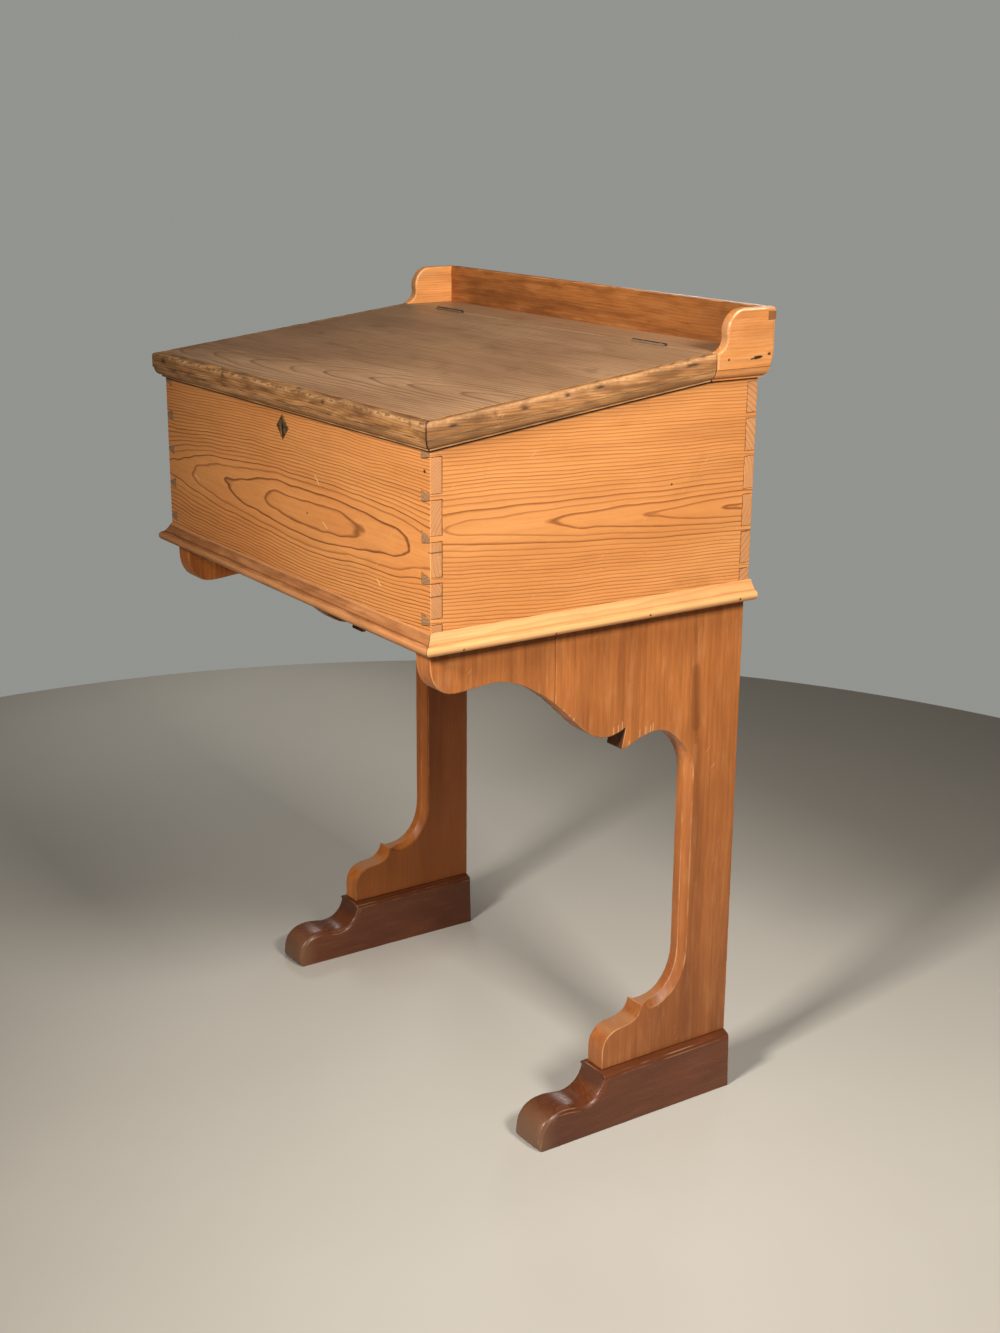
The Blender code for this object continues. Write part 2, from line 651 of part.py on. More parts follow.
# Lock case, a tray open to the front board
lock = frame("lock", (0, LOCK_FACE_Y, 0))
half = LOCK_WIDTH / 2
lock_case = block("lock_case", (-half, 0, LOCK_BOTTOM_Z), (half, LOCK_DEPTH, LOCK_TOP_Z), lock, IRON)
room = block(
    "lock_room_cut",
    (-half + LOCK_WALL, -CUT_PAST, LOCK_BOTTOM_Z + LOCK_WALL),
    (half - LOCK_WALL, LOCK_DEPTH - LOCK_WALL, LOCK_TOP_Z - LOCK_WALL),
    lock,
)
ledge_top = BOLT_Z - BOLT_HEIGHT / 2 - FIT_GAP
ledge = block(
    "lock_ledge_add",
    (BOLT_END_X - BOLT_LENGTH, BOLT_FROM_WALL - BOLT_THICK, ledge_top - LEDGE_THICK),
    (BOLT_END_X - BOLT_NOSE - BOLT_TAIL_WIDTH - FIT_GAP, LOCK_DEPTH - LOCK_WALL / 2, ledge_top),
    lock,
)
slot_half = STAPLE_THICK / 2 + STAPLE_CLEARANCE
slot_front = BOLT_FROM_WALL - BOLT_THICK - STAPLE_RIM - STAPLE_SWEEP
slot = block(
    "lock_slot_cut",
    (STAPLE_X - slot_half, slot_front, BOLT_Z),
    (STAPLE_X + slot_half, LOCK_DEPTH - LOCK_WALL, LOCK_TOP_Z + CUT_PAST),
    lock,
)
combine(lock_case, [room])
combine(lock_case, [ledge], "UNION")
combine(lock_case, [slot])
for k, end in enumerate((-1, 1)):
    place = (end * LOCK_SCREW_X, LOCK_DEPTH, LOCK_BOTTOM_Z + LOCK_SCREW_RISE)
    screw(f"lock_screw_{k + 1}", LOCK_SCREW, lock, place, (0, -1, 0), IRON, [lock_case, front_board])

# Lock bolt: a bar with a tail for the key behind its nose, its origin at its leading end
half = BOLT_HEIGHT / 2
tail_end = -half - BOLT_TAIL_DROP
tail_x = (-BOLT_NOSE - BOLT_TAIL_WIDTH, -BOLT_NOSE)
bolt_outline = [(0, -half), (0, half), (-BOLT_LENGTH, half), (-BOLT_LENGTH, -half)]
bolt_outline += [(tail_x[0], -half), (tail_x[0], tail_end)]
for k in range(CURVE_STEPS + 1):
    angle = math.pi * (1 - k / CURVE_STEPS)
    x = sum(tail_x) / 2 + TALON_RADIUS * math.cos(angle)
    bolt_outline.append((x, tail_end + TALON_RADIUS * math.sin(angle)))
bolt_outline += [(tail_x[1], tail_end), (tail_x[1], -half)]
lock_bolt = prism("lock_bolt", "Y", bolt_outline, -BOLT_THICK / 2, BOLT_THICK / 2, lock, IRON)
lock_bolt.location = (BOLT_END_X, BOLT_FROM_WALL, BOLT_Z)


def to_lid(y, z):
    """A world point of the shut desk in the lid's slope, (along, above)."""
    dy, dz = y - HINGE_Y, z - HINGE_Z
    along = dy * math.cos(LID_SLOPE) + dz * math.sin(LID_SLOPE)
    return along, dz * math.cos(LID_SLOPE) - dy * math.sin(LID_SLOPE)


# Link plate under the lid; its staple drops into the lock and takes the bolt
eye_y, eye_z = to_lid(BOLT_Y, BOLT_Z)
eye_half_y = BOLT_THICK / 2 + STAPLE_CLEARANCE
eye_half_z = BOLT_HEIGHT / 2 + STAPLE_CLEARANCE
plate_y = (eye_y - LINK_DEPTH / 2, eye_y + LINK_DEPTH / 2)
link_plate = block(
    "link_plate",
    (-LINK_WIDTH / 2, plate_y[0], -LID_THICK),
    (LINK_WIDTH / 2, plate_y[1], -LID_THICK + LINK_THICK),
    lid,
    IRON,
)
staple = block(
    "staple_add",
    (STAPLE_X - STAPLE_THICK / 2, eye_y - eye_half_y - STAPLE_RIM, eye_z - eye_half_z - STAPLE_RIM),
    (STAPLE_X + STAPLE_THICK / 2, eye_y + eye_half_y + STAPLE_RIM, -LID_THICK + LINK_THICK / 2),
    lid,
)
eye = block(
    "staple_eye_cut",
    (STAPLE_X - STAPLE_THICK, eye_y - eye_half_y, eye_z - eye_half_z),
    (STAPLE_X + STAPLE_THICK, eye_y + eye_half_y, eye_z + eye_half_z),
    lid,
)
combine(link_plate, [staple], "UNION")
combine(link_plate, [eye])
seat = block(
    "link_seat_cut",
    (-LINK_WIDTH / 2 - FIT_GAP, plate_y[0] - FIT_GAP, -LID_THICK - CUT_PAST),
    (LINK_WIDTH / 2 + FIT_GAP, plate_y[1] + FIT_GAP, -LID_THICK + LINK_THICK + FIT_GAP),
    lid,
)
combine(lid_panel, [seat])
for k, end in enumerate((-1, 1)):
    place = (end * LINK_SCREW_X, eye_y, -LID_THICK)
    screw(f"link_screw_{k + 1}", LINK_SCREW, lid, place, (0, 0, 1), IRON, [link_plate, lid_panel])

# Leg panel outline, front board then rear board: (Y, Z) as shares of the panel's depth and height
GLUE_POINT = (LEG_GLUE_SHARE, 0.8640)
HOOK_POINT = (0.6063, 0.7915)
POST_TOP = (POST_SHARE, 0.6816)
KNEE_END = (0.7222, 0.2275)
ANKLE_END = (0.5558, 0.1485)
apron_front = curve(
    (0.0, 0.9755), (0.0, 0.9411), (0.0266, 0.9176),
    (0.0725, 0.9176), (0.1139, 0.9176), (0.1483, 0.9236),
    (0.1942, 0.9231), (0.2516, 0.9223), (0.3274, 0.8910),
    GLUE_POINT,
)
apron_rear = curve(
    GLUE_POINT, (0.4330, 0.8316), (0.4789, 0.7863),
    (0.5340, 0.7813), (0.5546, 0.7794), (0.5845, 0.7832),
    HOOK_POINT,
)
arch = curve(
    (0.6040, 0.7516), (0.6350, 0.7597), (0.6717, 0.7732),
    (0.7107, 0.7732), (0.7727, 0.7732), (POST_SHARE, 0.7285),
    POST_TOP,
)
knee = curve((POST_SHARE, 0.3205), (POST_SHARE, 0.2657), (0.7819, 0.2290), KNEE_END)
ankle = curve(
    (0.6901, 0.2267), (0.6855, 0.2017), (0.6579, 0.1946),
    (0.6235, 0.1938), (0.5891, 0.1931), (ANKLE_END[0], 0.1813),
    ANKLE_END,
)


def inset(outline, amounts):
    """An outline moved inwards by its own amount at each point."""
    moved = []
    turning = sum(a[0] * b[1] - b[0] * a[1] for a, b in zip(outline, outline[1:] + outline[:1]))
    for k, (point, amount) in enumerate(zip(outline, amounts)):
        before, after = Vector(outline[k - 1]), Vector(outline[(k + 1) % len(outline)])
        along = (after - before).normalized()
        normal = Vector((-along.y, along.x)) if turning > 0 else Vector((along.y, -along.x))
        moved.append(tuple(Vector(point) + normal * amount))
    return moved


def chamfered(name, outline, layers, parent, finish):
    """A panel built in layers across its thickness: (X, outline inset at each point)."""
    rings = [[(x, y, z) for y, z in inset(outline, amounts)] for x, amounts in layers]
    return loft(name, rings, parent, finish)


def on_leg(*shares):
    return placed(shares, (LEG_FRONT_Y, 0.0), (LEG_DEPTH, LEG_TOP_Z))


(glue_y, glue_z) = on_leg(GLUE_POINT)[0]
front_outline = on_leg((0.0, 1.0), *apron_front)
front_outline += [(glue_y - FIT_GAP, glue_z + FIT_GAP), (glue_y - FIT_GAP, LEG_TOP_Z)]
above = on_leg((LEG_GLUE_SHARE, 1.0), *apron_rear, HOOK_POINT, (0.5937, 0.7522), *arch)
chamfer_edge = on_leg(POST_TOP, *knee, KNEE_END)
below = on_leg(*ankle, ANKLE_END)
below += [(below[-1][0], LEG_FOOT_Z), (LEG_BACK_Y, LEG_FOOT_Z), (LEG_BACK_Y, LEG_TOP_Z)]
rear_outline = above + chamfer_edge + below
# The chamfer grows along the last half of the arch and runs out where the ankle begins
growing = [CHAMFER * max(0.0, 2 * k / CURVE_STEPS - 1) for k in range(CURVE_STEPS)]
full_chamfer = [0.0] * (len(above) - CURVE_STEPS) + growing
full_chamfer += [CHAMFER] * len(chamfer_edge) + [0.0] * len(below)
no_chamfer = [0.0] * len(rear_outline)

# Foot outline, (Y, Z) as shares of its length and height: top, step, scoop, toe and sole
toe_end = (0.0271, 0.0)
toe = curve(
    (0.3299, 1.0), (0.3249, 0.7517), (0.2876, 0.5906),
    (0.2301, 0.5839), (0.1963, 0.5799), (0.1692, 0.6309),
    (0.1286, 0.6309), (0.0474, 0.6309), (0.0, 0.4564),
    (0.0, 0.1611), (0.0, 0.0537), (0.0102, 0.0),
    toe_end,
)
toe_corner = (FOOT_BACK_Y - FOOT_LENGTH, 0.0)
foot_outline = placed([(1.0, 1.0), *toe, toe_end, (1.0, 0.0)], toe_corner, (FOOT_LENGTH, FOOT_HEIGHT))


def foot_edge(drop):
    """Depth of the moulded edge at each point: full along the top, and fading out down the toe."""
    full = len(foot_outline) - 2 - CURVE_STEPS
    fade = [drop * (1 - (k + 1) / CURVE_STEPS) for k in range(CURVE_STEPS)]
    return [drop] * full + fade + [0.0, 0.0]


for word, side in (("left", -1), ("right", 1)):
    leg = frame(word + "_leg", (side * LEG_MIDDLE_X, 0, 0))
    half = LEG_THICK / 2
    leg_front = prism(word + "_leg_front_board", "X", front_outline, -half, half, leg, RED_PINE)
    layers = [(-half, full_chamfer), (CHAMFER - half, no_chamfer)]
    layers += [(half - CHAMFER, no_chamfer), (half, full_chamfer)]
    leg_rear = chamfered(word + "_leg_rear_board", rear_outline, layers, leg, RED_PINE)
    tenon = block(
        word + "_tenon_add",
        (-TENON_THICK / 2, TENON_FRONT_Y, LEG_FOOT_Z - TENON_LENGTH),
        (TENON_THICK / 2, TENON_BACK_Y, LEG_FOOT_Z + CUT_PAST),
        leg,
    )
    combine(leg_rear, [tenon], "UNION")

    half = FOOT_THICK / 2
    edge = [
        (half, foot_edge(FOOT_EDGE_DROP)),
        (half - FOOT_EDGE_MIDDLE_RUN, foot_edge(FOOT_EDGE_MIDDLE_DROP)),
        (half - FOOT_EDGE_RUN, foot_edge(0.0)),
    ]
    layers = [(-x, amounts) for x, amounts in edge] + edge[::-1]
    foot = chamfered(word + "_foot", foot_outline, layers, leg, MAHOGANY)
    mortise = block(
        word + "_tenon_cut",
        (-TENON_THICK / 2 - FIT_GAP, TENON_FRONT_Y - FIT_GAP, LEG_FOOT_Z - TENON_LENGTH - FIT_GAP),
        (TENON_THICK / 2 + FIT_GAP, TENON_BACK_Y + FIT_GAP, FOOT_HEIGHT + CUT_PAST),
        leg,
    )
    combine(foot, [mortise])

    # Cleat in the corner between the leg panel and the bottom board
    inner = -side * (LEG_THICK / 2 + FIT_GAP)
    free = inner - side * CLEAT_SIZE
    low = LEG_TOP_Z - CLEAT_SIZE
    outline = [(inner, low), (inner, LEG_TOP_Z), (free, LEG_TOP_Z)]
    outline += [(free, low + CLEAT_CHAMFER), (free + side * CLEAT_CHAMFER, low)]
    cleat = prism(word + "_cleat", "Y", outline, -CLEAT_LENGTH / 2, CLEAT_LENGTH / 2, leg, RAW_PINE)
    for k, share in enumerate(CLEAT_UP_SCREW_SHARES):
        place = ((inner + free) / 2, share * CLEAT_LENGTH, low)
        name = f"{word}_cleat_up_screw_{k + 1}"
        screw(name, CLEAT_UP_SCREW, leg, place, (0, 0, 1), IRON, [cleat, bottom_board])
    for k, (share, board) in enumerate(zip(CLEAT_SIDE_SCREW_SHARES, (leg_front, leg_rear))):
        place = (free, share * CLEAT_LENGTH, low + CLEAT_SIZE / 2)
        name = f"{word}_cleat_side_screw_{k + 1}"
        screw(name, CLEAT_SIDE_SCREW, leg, place, (side, 0, 0), IRON, [cleat, board])
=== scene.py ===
# %% [markdown]
# # An old pine school desk
# The desk is a dovetailed pine box with a sloping lid, on two shaped leg panels that stand in
# dark sled feet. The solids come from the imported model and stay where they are. This lesson
# gives each piece its eased edges, its wear and a wood that is grown from rings, not painted on.

# %% Load the desk's solids
import json
import math

import bmesh
import bpy
from mathutils import Matrix, Vector, noise

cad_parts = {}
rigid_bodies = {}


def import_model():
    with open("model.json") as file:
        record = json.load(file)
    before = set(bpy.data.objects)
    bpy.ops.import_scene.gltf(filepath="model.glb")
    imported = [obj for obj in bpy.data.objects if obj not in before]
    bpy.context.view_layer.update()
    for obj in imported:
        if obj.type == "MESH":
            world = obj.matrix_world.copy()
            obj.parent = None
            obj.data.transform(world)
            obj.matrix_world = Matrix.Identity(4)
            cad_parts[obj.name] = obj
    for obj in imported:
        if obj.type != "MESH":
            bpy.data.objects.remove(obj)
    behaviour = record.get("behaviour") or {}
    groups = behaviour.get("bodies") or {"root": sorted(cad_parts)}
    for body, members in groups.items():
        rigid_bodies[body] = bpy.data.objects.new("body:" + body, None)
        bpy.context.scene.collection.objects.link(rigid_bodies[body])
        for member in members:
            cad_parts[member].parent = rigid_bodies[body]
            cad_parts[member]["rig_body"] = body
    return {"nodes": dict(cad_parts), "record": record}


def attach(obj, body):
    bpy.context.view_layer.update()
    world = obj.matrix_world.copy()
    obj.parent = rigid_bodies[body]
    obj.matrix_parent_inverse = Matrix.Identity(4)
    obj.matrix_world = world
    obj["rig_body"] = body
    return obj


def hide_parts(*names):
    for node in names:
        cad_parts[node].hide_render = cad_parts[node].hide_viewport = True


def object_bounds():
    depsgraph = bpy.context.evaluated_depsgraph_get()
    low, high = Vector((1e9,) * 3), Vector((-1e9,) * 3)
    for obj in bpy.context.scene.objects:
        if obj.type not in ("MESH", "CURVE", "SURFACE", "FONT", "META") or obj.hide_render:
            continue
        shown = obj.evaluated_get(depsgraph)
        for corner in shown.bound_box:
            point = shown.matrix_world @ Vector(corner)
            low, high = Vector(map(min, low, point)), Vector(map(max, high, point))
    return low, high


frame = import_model()
solid_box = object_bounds()

# %% [markdown]
# ## Camera
# The camera stands a little above the lid and off the front right corner, as in the photograph.
# It could be aimed by eye with a Track To constraint. Here its three axes are written down,
# because they were solved from measured corners of the desk, and the lens with them.

# %% Place the camera
EYE = Vector((1.8900, -1.2001, 1.1801))
TO_RIGHT = Vector((0.5609, 0.8279, 0.0073)).normalized()
FORWARD = Vector((-0.7919, 0.5391, -0.2869)).normalized()
TO_TOP = TO_RIGHT.cross(FORWARD)
LENS_MM, SENSOR_MM = 49.865, 36.0

camera = bpy.data.objects.new("camera", bpy.data.cameras.new("camera"))
camera.data.lens, camera.data.sensor_width = LENS_MM, SENSOR_MM
axes = Matrix((TO_RIGHT, TO_TOP, -FORWARD)).transposed()
camera.matrix_world = Matrix.Translation(EYE) @ axes.to_4x4()
bpy.context.scene.collection.objects.link(camera)
bpy.context.scene.camera = camera
print("camera lens", LENS_MM, "mm, looking along", [round(v, 3) for v in FORWARD])

# %% [markdown]
# ## Light
# Two softboxes light the desk, one from its right side and one from the front, so each leg throws
# two shadows. The front one is aimed past the right corner and has a narrow beam, so the front
# board darkens towards its left end. A weak third one brightens the floor on the left, and a
# fourth one, level with the box, shows the wood of the back and hardly reaches the front. The
# larger an area light is, the softer its shadows are.

# %% Hang the softboxes
WARM = (1.0, 0.97, 0.93)


def softbox(name, place, target, size, watts, spread, tint=WARM):
    """A square area light at a place, turned towards a target, with a limited beam."""
    lamp = bpy.data.lights.new(name, "AREA")
    lamp.size, lamp.energy, lamp.color, lamp.spread = size, watts, tint, math.radians(spread)
    holder = bpy.data.objects.new(name, lamp)
    holder.location = place
    aim = Vector(target) - Vector(place)
    holder.rotation_euler = aim.to_track_quat("-Z", "Y").to_euler()
    bpy.context.scene.collection.objects.link(holder)


softbox("right_softbox", (2.1, 0.0, 1.95), (0.25, 0.0, 0.85), 0.5, 12.9, 82)
softbox("front_softbox", (0.9, -2.1, 1.85), (0.75, -0.2, 0.65), 0.45, 14.0, 65)
softbox("floor_softbox", (-2.2, 0.9, 1.8), (-1.30, 0.15, 0.0), 0.6, 1.8, 56, (1.0, 0.99, 0.96))
softbox("back_softbox", (-1.5, 1.9, 0.95), (-0.1, 0.1, 0.80), 0.8, 1.9, 32, (1.0, 0.98, 0.95))

# %% [markdown]
# ## Writing a finish as arithmetic
# A finish is a tree of shader nodes. Wiring each node by hand hides what the finish does, so a
# small class wraps an output socket and lets Python's own signs add the Math nodes. One method
# adds every other kind of node: its type, its settings, and what goes into its sockets.

# %% A finish and the values in it


class Finish:
    """The node tree of a material or of the world, with the one method that adds nodes to it."""

    def __init__(self, owner):
        owner.use_nodes = True
        self.owner, self.tree = owner, owner.node_tree

    def node(self, kind, settings=None, sockets=None, out=0):
        made = self.tree.nodes.new("ShaderNode" + kind)
        for key, value in (settings or {}).items():
            setattr(made, key, value)
        for key, value in (sockets or {}).items():
            self.feed(made.inputs[key], value)
        return Value(self, made.outputs[out])

    def feed(self, socket, value):
        if isinstance(value, Value):
            self.tree.links.new(value.socket, socket)
        else:
            socket.default_value = value

    def dress(self, sockets):
        """Feeds the sockets of the material's own shader and gives the material."""
        for key, value in sockets.items():
            self.feed(self.tree.nodes["Principled BSDF"].inputs[key], value)
        return self.owner


class Value:
    """One output socket. Arithmetic on it adds Math nodes to its finish."""

    def __init__(self, finish, socket):
        self.finish, self.socket = finish, socket

    def math(self, operation, *terms):
        return self.finish.node("Math", {"operation": operation}, dict(enumerate(terms)))

    def __add__(self, other):
        return self.math("ADD", self, other)

    def __radd__(self, other):
        return self.math("ADD", other, self)

    def __sub__(self, other):
        return self.math("SUBTRACT", self, other)

    def __rsub__(self, other):
        return self.math("SUBTRACT", other, self)

    def __mul__(self, other):
        return self.math("MULTIPLY", self, other)

    def __rmul__(self, other):
        return self.math("MULTIPLY", other, self)

    def __truediv__(self, other):
        return self.math("DIVIDE", self, other)

    def __rtruediv__(self, other):
        return self.math("DIVIDE", other, self)

    def __abs__(self):
        return self.math("ABSOLUTE", self)


print("finishes are ready to be written")

# %% [markdown]
# ## Light from all sides
# A studio sends back grey light from all sides, so no shadow is black. The world does that with
# a weak grey background. Past the desk and the floor the camera sees a second, plain one, so
# that the backdrop can have its own tone without changing the light.

# %% Fill the studio with grey
GREY_LIGHT, GREY_STRENGTH = (0.295, 0.282, 0.258, 1), 0.27
BACKDROP = (0.292, 0.298, 0.280, 1)

studio = Finish(bpy.data.worlds.new("grey_studio"))
studio.tree.nodes.remove(studio.tree.nodes["Background"])
fill = studio.node("Background", None, {"Color": GREY_LIGHT, "Strength": GREY_STRENGTH})
backdrop = studio.node("Background", None, {"Color": BACKDROP})
looked_at = studio.node("LightPath", out="Is Camera Ray")
shown = studio.node("MixShader", None, {0: looked_at, 1: fill, 2: backdrop})
studio.feed(studio.tree.nodes["World Output"].inputs["Surface"], shown)
bpy.context.scene.world = studio.owner
bpy.context.scene.view_settings.view_transform = "Standard"
print("grey light:", GREY_STRENGTH, "times", GREY_LIGHT[:3])

# %% [markdown]
# A few words used by every finish: a soft step, a mix of two colours, cloudy noise stretched
# along any axis, and the picture colours 0 to 255 turned into the linear light Blender works in.

# %% Words that every finish uses


def colour(red, green, blue):
    """A picture colour, 0 to 255, in linear light."""
    parts = [c / 255 for c in (red, green, blue)]
    return (*[c / 12.92 if c <= 0.04045 else ((c + 0.055) / 1.055) ** 2.4 for c in parts], 1)


def step(value, low, high):
    """0 below low, 1 above high, and a smooth rise between them."""
    ends = {"Value": value, "From Min": low, "From Max": high}
    return value.finish.node("MapRange", {"interpolation_type": "SMOOTHSTEP"}, ends)


def blend(share, first, second):
    """Two colours mixed by a share."""
    return share.finish.node("Mix", {"data_type": "RGBA"}, {0: share, 6: first, 7: second}, out=2)


def clouds(finish, x, y, z, detail=2.0, rough=0.5):
    """Smooth noise from about 0 to 1 at a point given by three values."""
    point = finish.node("CombineXYZ", None, {0: x, 1: y, 2: z})
    return finish.node("TexNoise", None,
                       {"Vector": point, "Scale": 1.0, "Detail": detail, "Roughness": rough})


print("honey in linear light:", [round(c, 3) for c in colour(212, 139, 74)])

# %% [markdown]
# ## Wood
# A board is cut from a trunk, so its figure is the trunk's rings where the saw went through.
# A picture of wood would stretch on every end and edge. Instead each board gets a pith, the
# centre line of its trunk, and every point of the board is coloured by its distance from that
# line. Straight lines, pointed tongues and the end grain on the dovetails then come by themselves.

# %% A board's own directions and noises
AXES = "XYZ"
END_GRAIN = (0.70, 0.93)


class Board(Finish):
    """A wood finish that knows its board's directions: along the grain, across it and into it."""

    def __init__(self, name, grain, seed):
        super().__init__(bpy.data.materials.new(name))
        seen = self.node("TexCoord", out="Object")
        normal = self.node("TexCoord", out="Normal")
        facing = self.node("SeparateXYZ", None, {0: normal}, out=AXES.index(grain[0]))
        self.at = {AXES[k]: self.node("SeparateXYZ", None, {0: seen}, out=k) for k in range(3)}
        self.along, self.across, self.into = (self.at[axis] for axis in grain)
        self.seed = seed
        self.end = step(abs(facing), *END_GRAIN)
        self.ripple = self.figure(14.0, 50.0) - 0.5
        self.fibre = self.figure(16.0, 700.0) - 0.5
        self.mottle = self.figure(3.5, 9.0, detail=3.0)
        self.soil_and_shade = self.drawn(12.0, 22.0, 22.0, detail=4.0, rough=0.6)

    def figure(self, length, width, detail=2.0, rough=0.5):
        """Cloudy noise with so many waves in a metre along the grain and across it."""
        return clouds(self, self.along * length + self.seed, self.across * width,
                      self.into * width, detail, rough)

    def drawn(self, length, width, depth, detail=2.0, rough=0.5):
        """The same with its own number of waves into the board, and another start across it."""
        return clouds(self, self.along * length, self.across * width + self.seed,
                      self.into * depth, detail, rough)


print("end grain shows where a face turns from", END_GRAIN[0], "to", END_GRAIN[1])

# %% [markdown]
# The rings are counted outwards from the pith. Three noises bend them, in slow, middling and fine
# waves of so many metres, because no trunk is round. Some years grew wider than others.

# %% Count the rings at each point of a board
SWAY, WOBBLE, RIPPLE = 0.014, 0.006, 0.0018
YEARS_PITCH, UNEVEN_YEARS = 60.0, 0.8
STEEP_FROM = 0.7


def root(value):
    return value.math("SQRT", value)


def rings(board, face, pith, spacing, taper, drift, wild, shift, crowd):
    """The rings from the pith to each point, and from 0 to 1 how steeply the face cuts them."""
    sway = board.figure(2.2, 5.0, detail=1.0) - 0.5
    wobble = board.figure(9.0, 16.0) - 0.5
    place, lean, spread, rounding = taper
    run = board.along - place
    depth = pith[1] + run * lean + root(run * run + rounding ** 2) * spread
    down = depth - (board.into - face[0]) * face[1]
    aside = board.across - (pith[0] + board.along * drift) + sway * (SWAY * wild)
    radius = root(aside * aside + down * down)
    radius = radius + wobble * (WOBBLE * wild) + board.ripple * (RIPPLE * wild)
    uneven = clouds(board, radius * YEARS_PITCH, board.seed, 0.5, detail=1.0)
    outer = radius - crowd[0]
    outer = outer.math("MAXIMUM", outer, 0.0)
    count = radius / spacing + outer * crowd[1] + uneven * UNEVEN_YEARS + shift
    return count, step(abs(aside) / radius, 0.0, STEEP_FROM)


print("rings bend by up to", SWAY, "m")

# %% [markdown]
# In each ring the pale early wood of spring turns into the dark late wood of summer, which ends
# sharply. Where the saw ran nearly along a ring its dark line would be very broad, so it is kept
# thinner there. No two years are equally dark.

# %% The dark late wood of each ring
THIN_LINE, LINE_END, FAINTEST_YEAR = 0.20, 0.94, 0.55
LINES_BETWEEN, LINES_START = 3.0, 0.4


def late_wood(board, look, count, steep, calm):
    """A point's place in its ring, its share of late wood and its share of faint lines between."""
    ring = count.math("FRACT", count)
    which = count.math("FLOOR", count)
    strength = board.node("TexWhiteNoise", {"noise_dimensions": "1D"}, {"W": which + board.seed})
    start, full = look["line"]
    start = full - (full - start) * (THIN_LINE + (1 - THIN_LINE) * steep)
    late = step(ring, start, full) * (1 - step(ring, LINE_END, 1.0))
    late = late * (strength * (1 - FAINTEST_YEAR) + FAINTEST_YEAR)
    if calm:
        late = late * (1 - step(board.across, calm[0], calm[1]) * calm[2])
    between = count * LINES_BETWEEN + LINES_START
    faint = step(abs(between.math("FRACT", between) - 0.5), 0.30, 0.48)
    return ring, late, faint


print("the faintest year keeps", FAINTEST_YEAR, "of its dark line")

# %% [markdown]
# Over the rings lie finer things: fibres, flecks, streaks of resin, smudges, soil and scratches.
# Each is a noise of its own stretch, cut off softly, and each is mixed over the ones before it.

# %% The colours of sound wood, one over the other
RING_SHADE, FIBRE_SHARE, FLECK_SHARE, PALE_SMUDGE = 0.22, 0.28, 0.25, 0.6


def sound_wood(board, look, ring, late, faint):
    """The colour of the wood before its wear, and the height of its grain."""
    fleck = step(board.drawn(90.0, 900.0, 900.0), 0.62, 0.75)
    streak = board.drawn(2.4, 42.0, 30.0, detail=3.0)
    hair = board.figure(7.0, 260.0, detail=3.0, rough=0.6)
    smudge = board.figure(22.0, 120.0, detail=3.0)
    rub = clouds(board, (board.along + board.across) * 30.0,
                 (board.along - board.across) * 260.0 + board.seed, board.into * 30.0)
    scratch = step(rub, 0.715, 0.75) * step(board.soil_and_shade, 0.45, 0.55)

    tone = blend(step(board.mottle, 0.30, 0.70), look["early"], look["early_dark"])
    layers = [
        (ring * RING_SHADE + faint * look["faint_share"], "fibre"),
        (step(streak, 0.45, 0.72) * look["streak_share"], "late"),
        (step(hair, 0.48, 0.72) * look["hair_share"], "late"),
        (step(smudge, 0.48, 0.66) * look["smudge_share"], "late"),
        ((1 - step(smudge, 0.34, 0.46)) * look["smudge_share"] * PALE_SMUDGE, "chip_and_painted_light"),
        (late * look["contrast"], "late"),
        (step(board.fibre, -0.25, 0.30) * FIBRE_SHARE, "fibre"),
        (fleck * (1 - late) * FLECK_SHARE, "late"),
        (board.end * look["end_share"], "end"),
        (step(board.soil_and_shade, 0.55, 0.80) * look["soil_share"], "soil_and_shade"),
        (scratch * look["scratch_share"], "chip_and_painted_light"),
    ]
    for share, key in layers:
        tone = blend(share, tone, look[key])
    relief = late * 0.5 + board.fibre * 0.7 + fleck * 0.3 + (board.soil_and_shade - 0.5) * 0.8 - scratch * 0.6
    return tone, relief


print("fibres show by", FIBRE_SHARE, "and flecks by", FLECK_SHARE)

# %% [markdown]
# Some marks are in one place only: a nail hole, a scar, the stain down a post, a painted shadow
# line in a moulding's groove. Each is a stroke between two points of a board's face. Under a piece
# that stands out, a band of painted shadow darkens the board below. A torn upper edge has dark
# cracks with pale wood below, and a painted shadow line lies in the quirk further down.

# %% Strokes, painted shadow bands and torn edges
SCAR_DEPTH, HOLE_DEPTH, CRACK_AND_QUIRK_DEPTH = 1.0, 6.0, 3.0
STROKE_CORE, STROKE_WANDER = 0.4, 0.002
SHADOW_BAND_SHARE, TORN_SHARE, FADE_WANDER = 0.95, 0.6, 0.6
# Lines of cracks along a torn edge, the last one a painted shadow line in the quirk lower down:
# waves in a metre, how far they wander, their height
CRACKS_AND_QUIRK_SHADOW = ((38.0, 0.0060, 0.0016), (75.0, 0.0110, 0.0032), (11.0, 0.0016, -0.0162))


def stroke(along, across, start, end, half):
    """1 on a stroke between two places of a board's face, fading out at half its width."""
    run, rise = end[0] - start[0], end[1] - start[1]
    x, y = along - start[0], across - start[1]
    share = (x * run + y * rise) / max(run ** 2 + rise ** 2, 1e-9)
    share = share.math("MINIMUM", share.math("MAXIMUM", share, 0.0), 1.0)
    x, y = x - share * run, y - share * rise
    return 1 - step(root(x * x + y * y), half * STROKE_CORE, half)


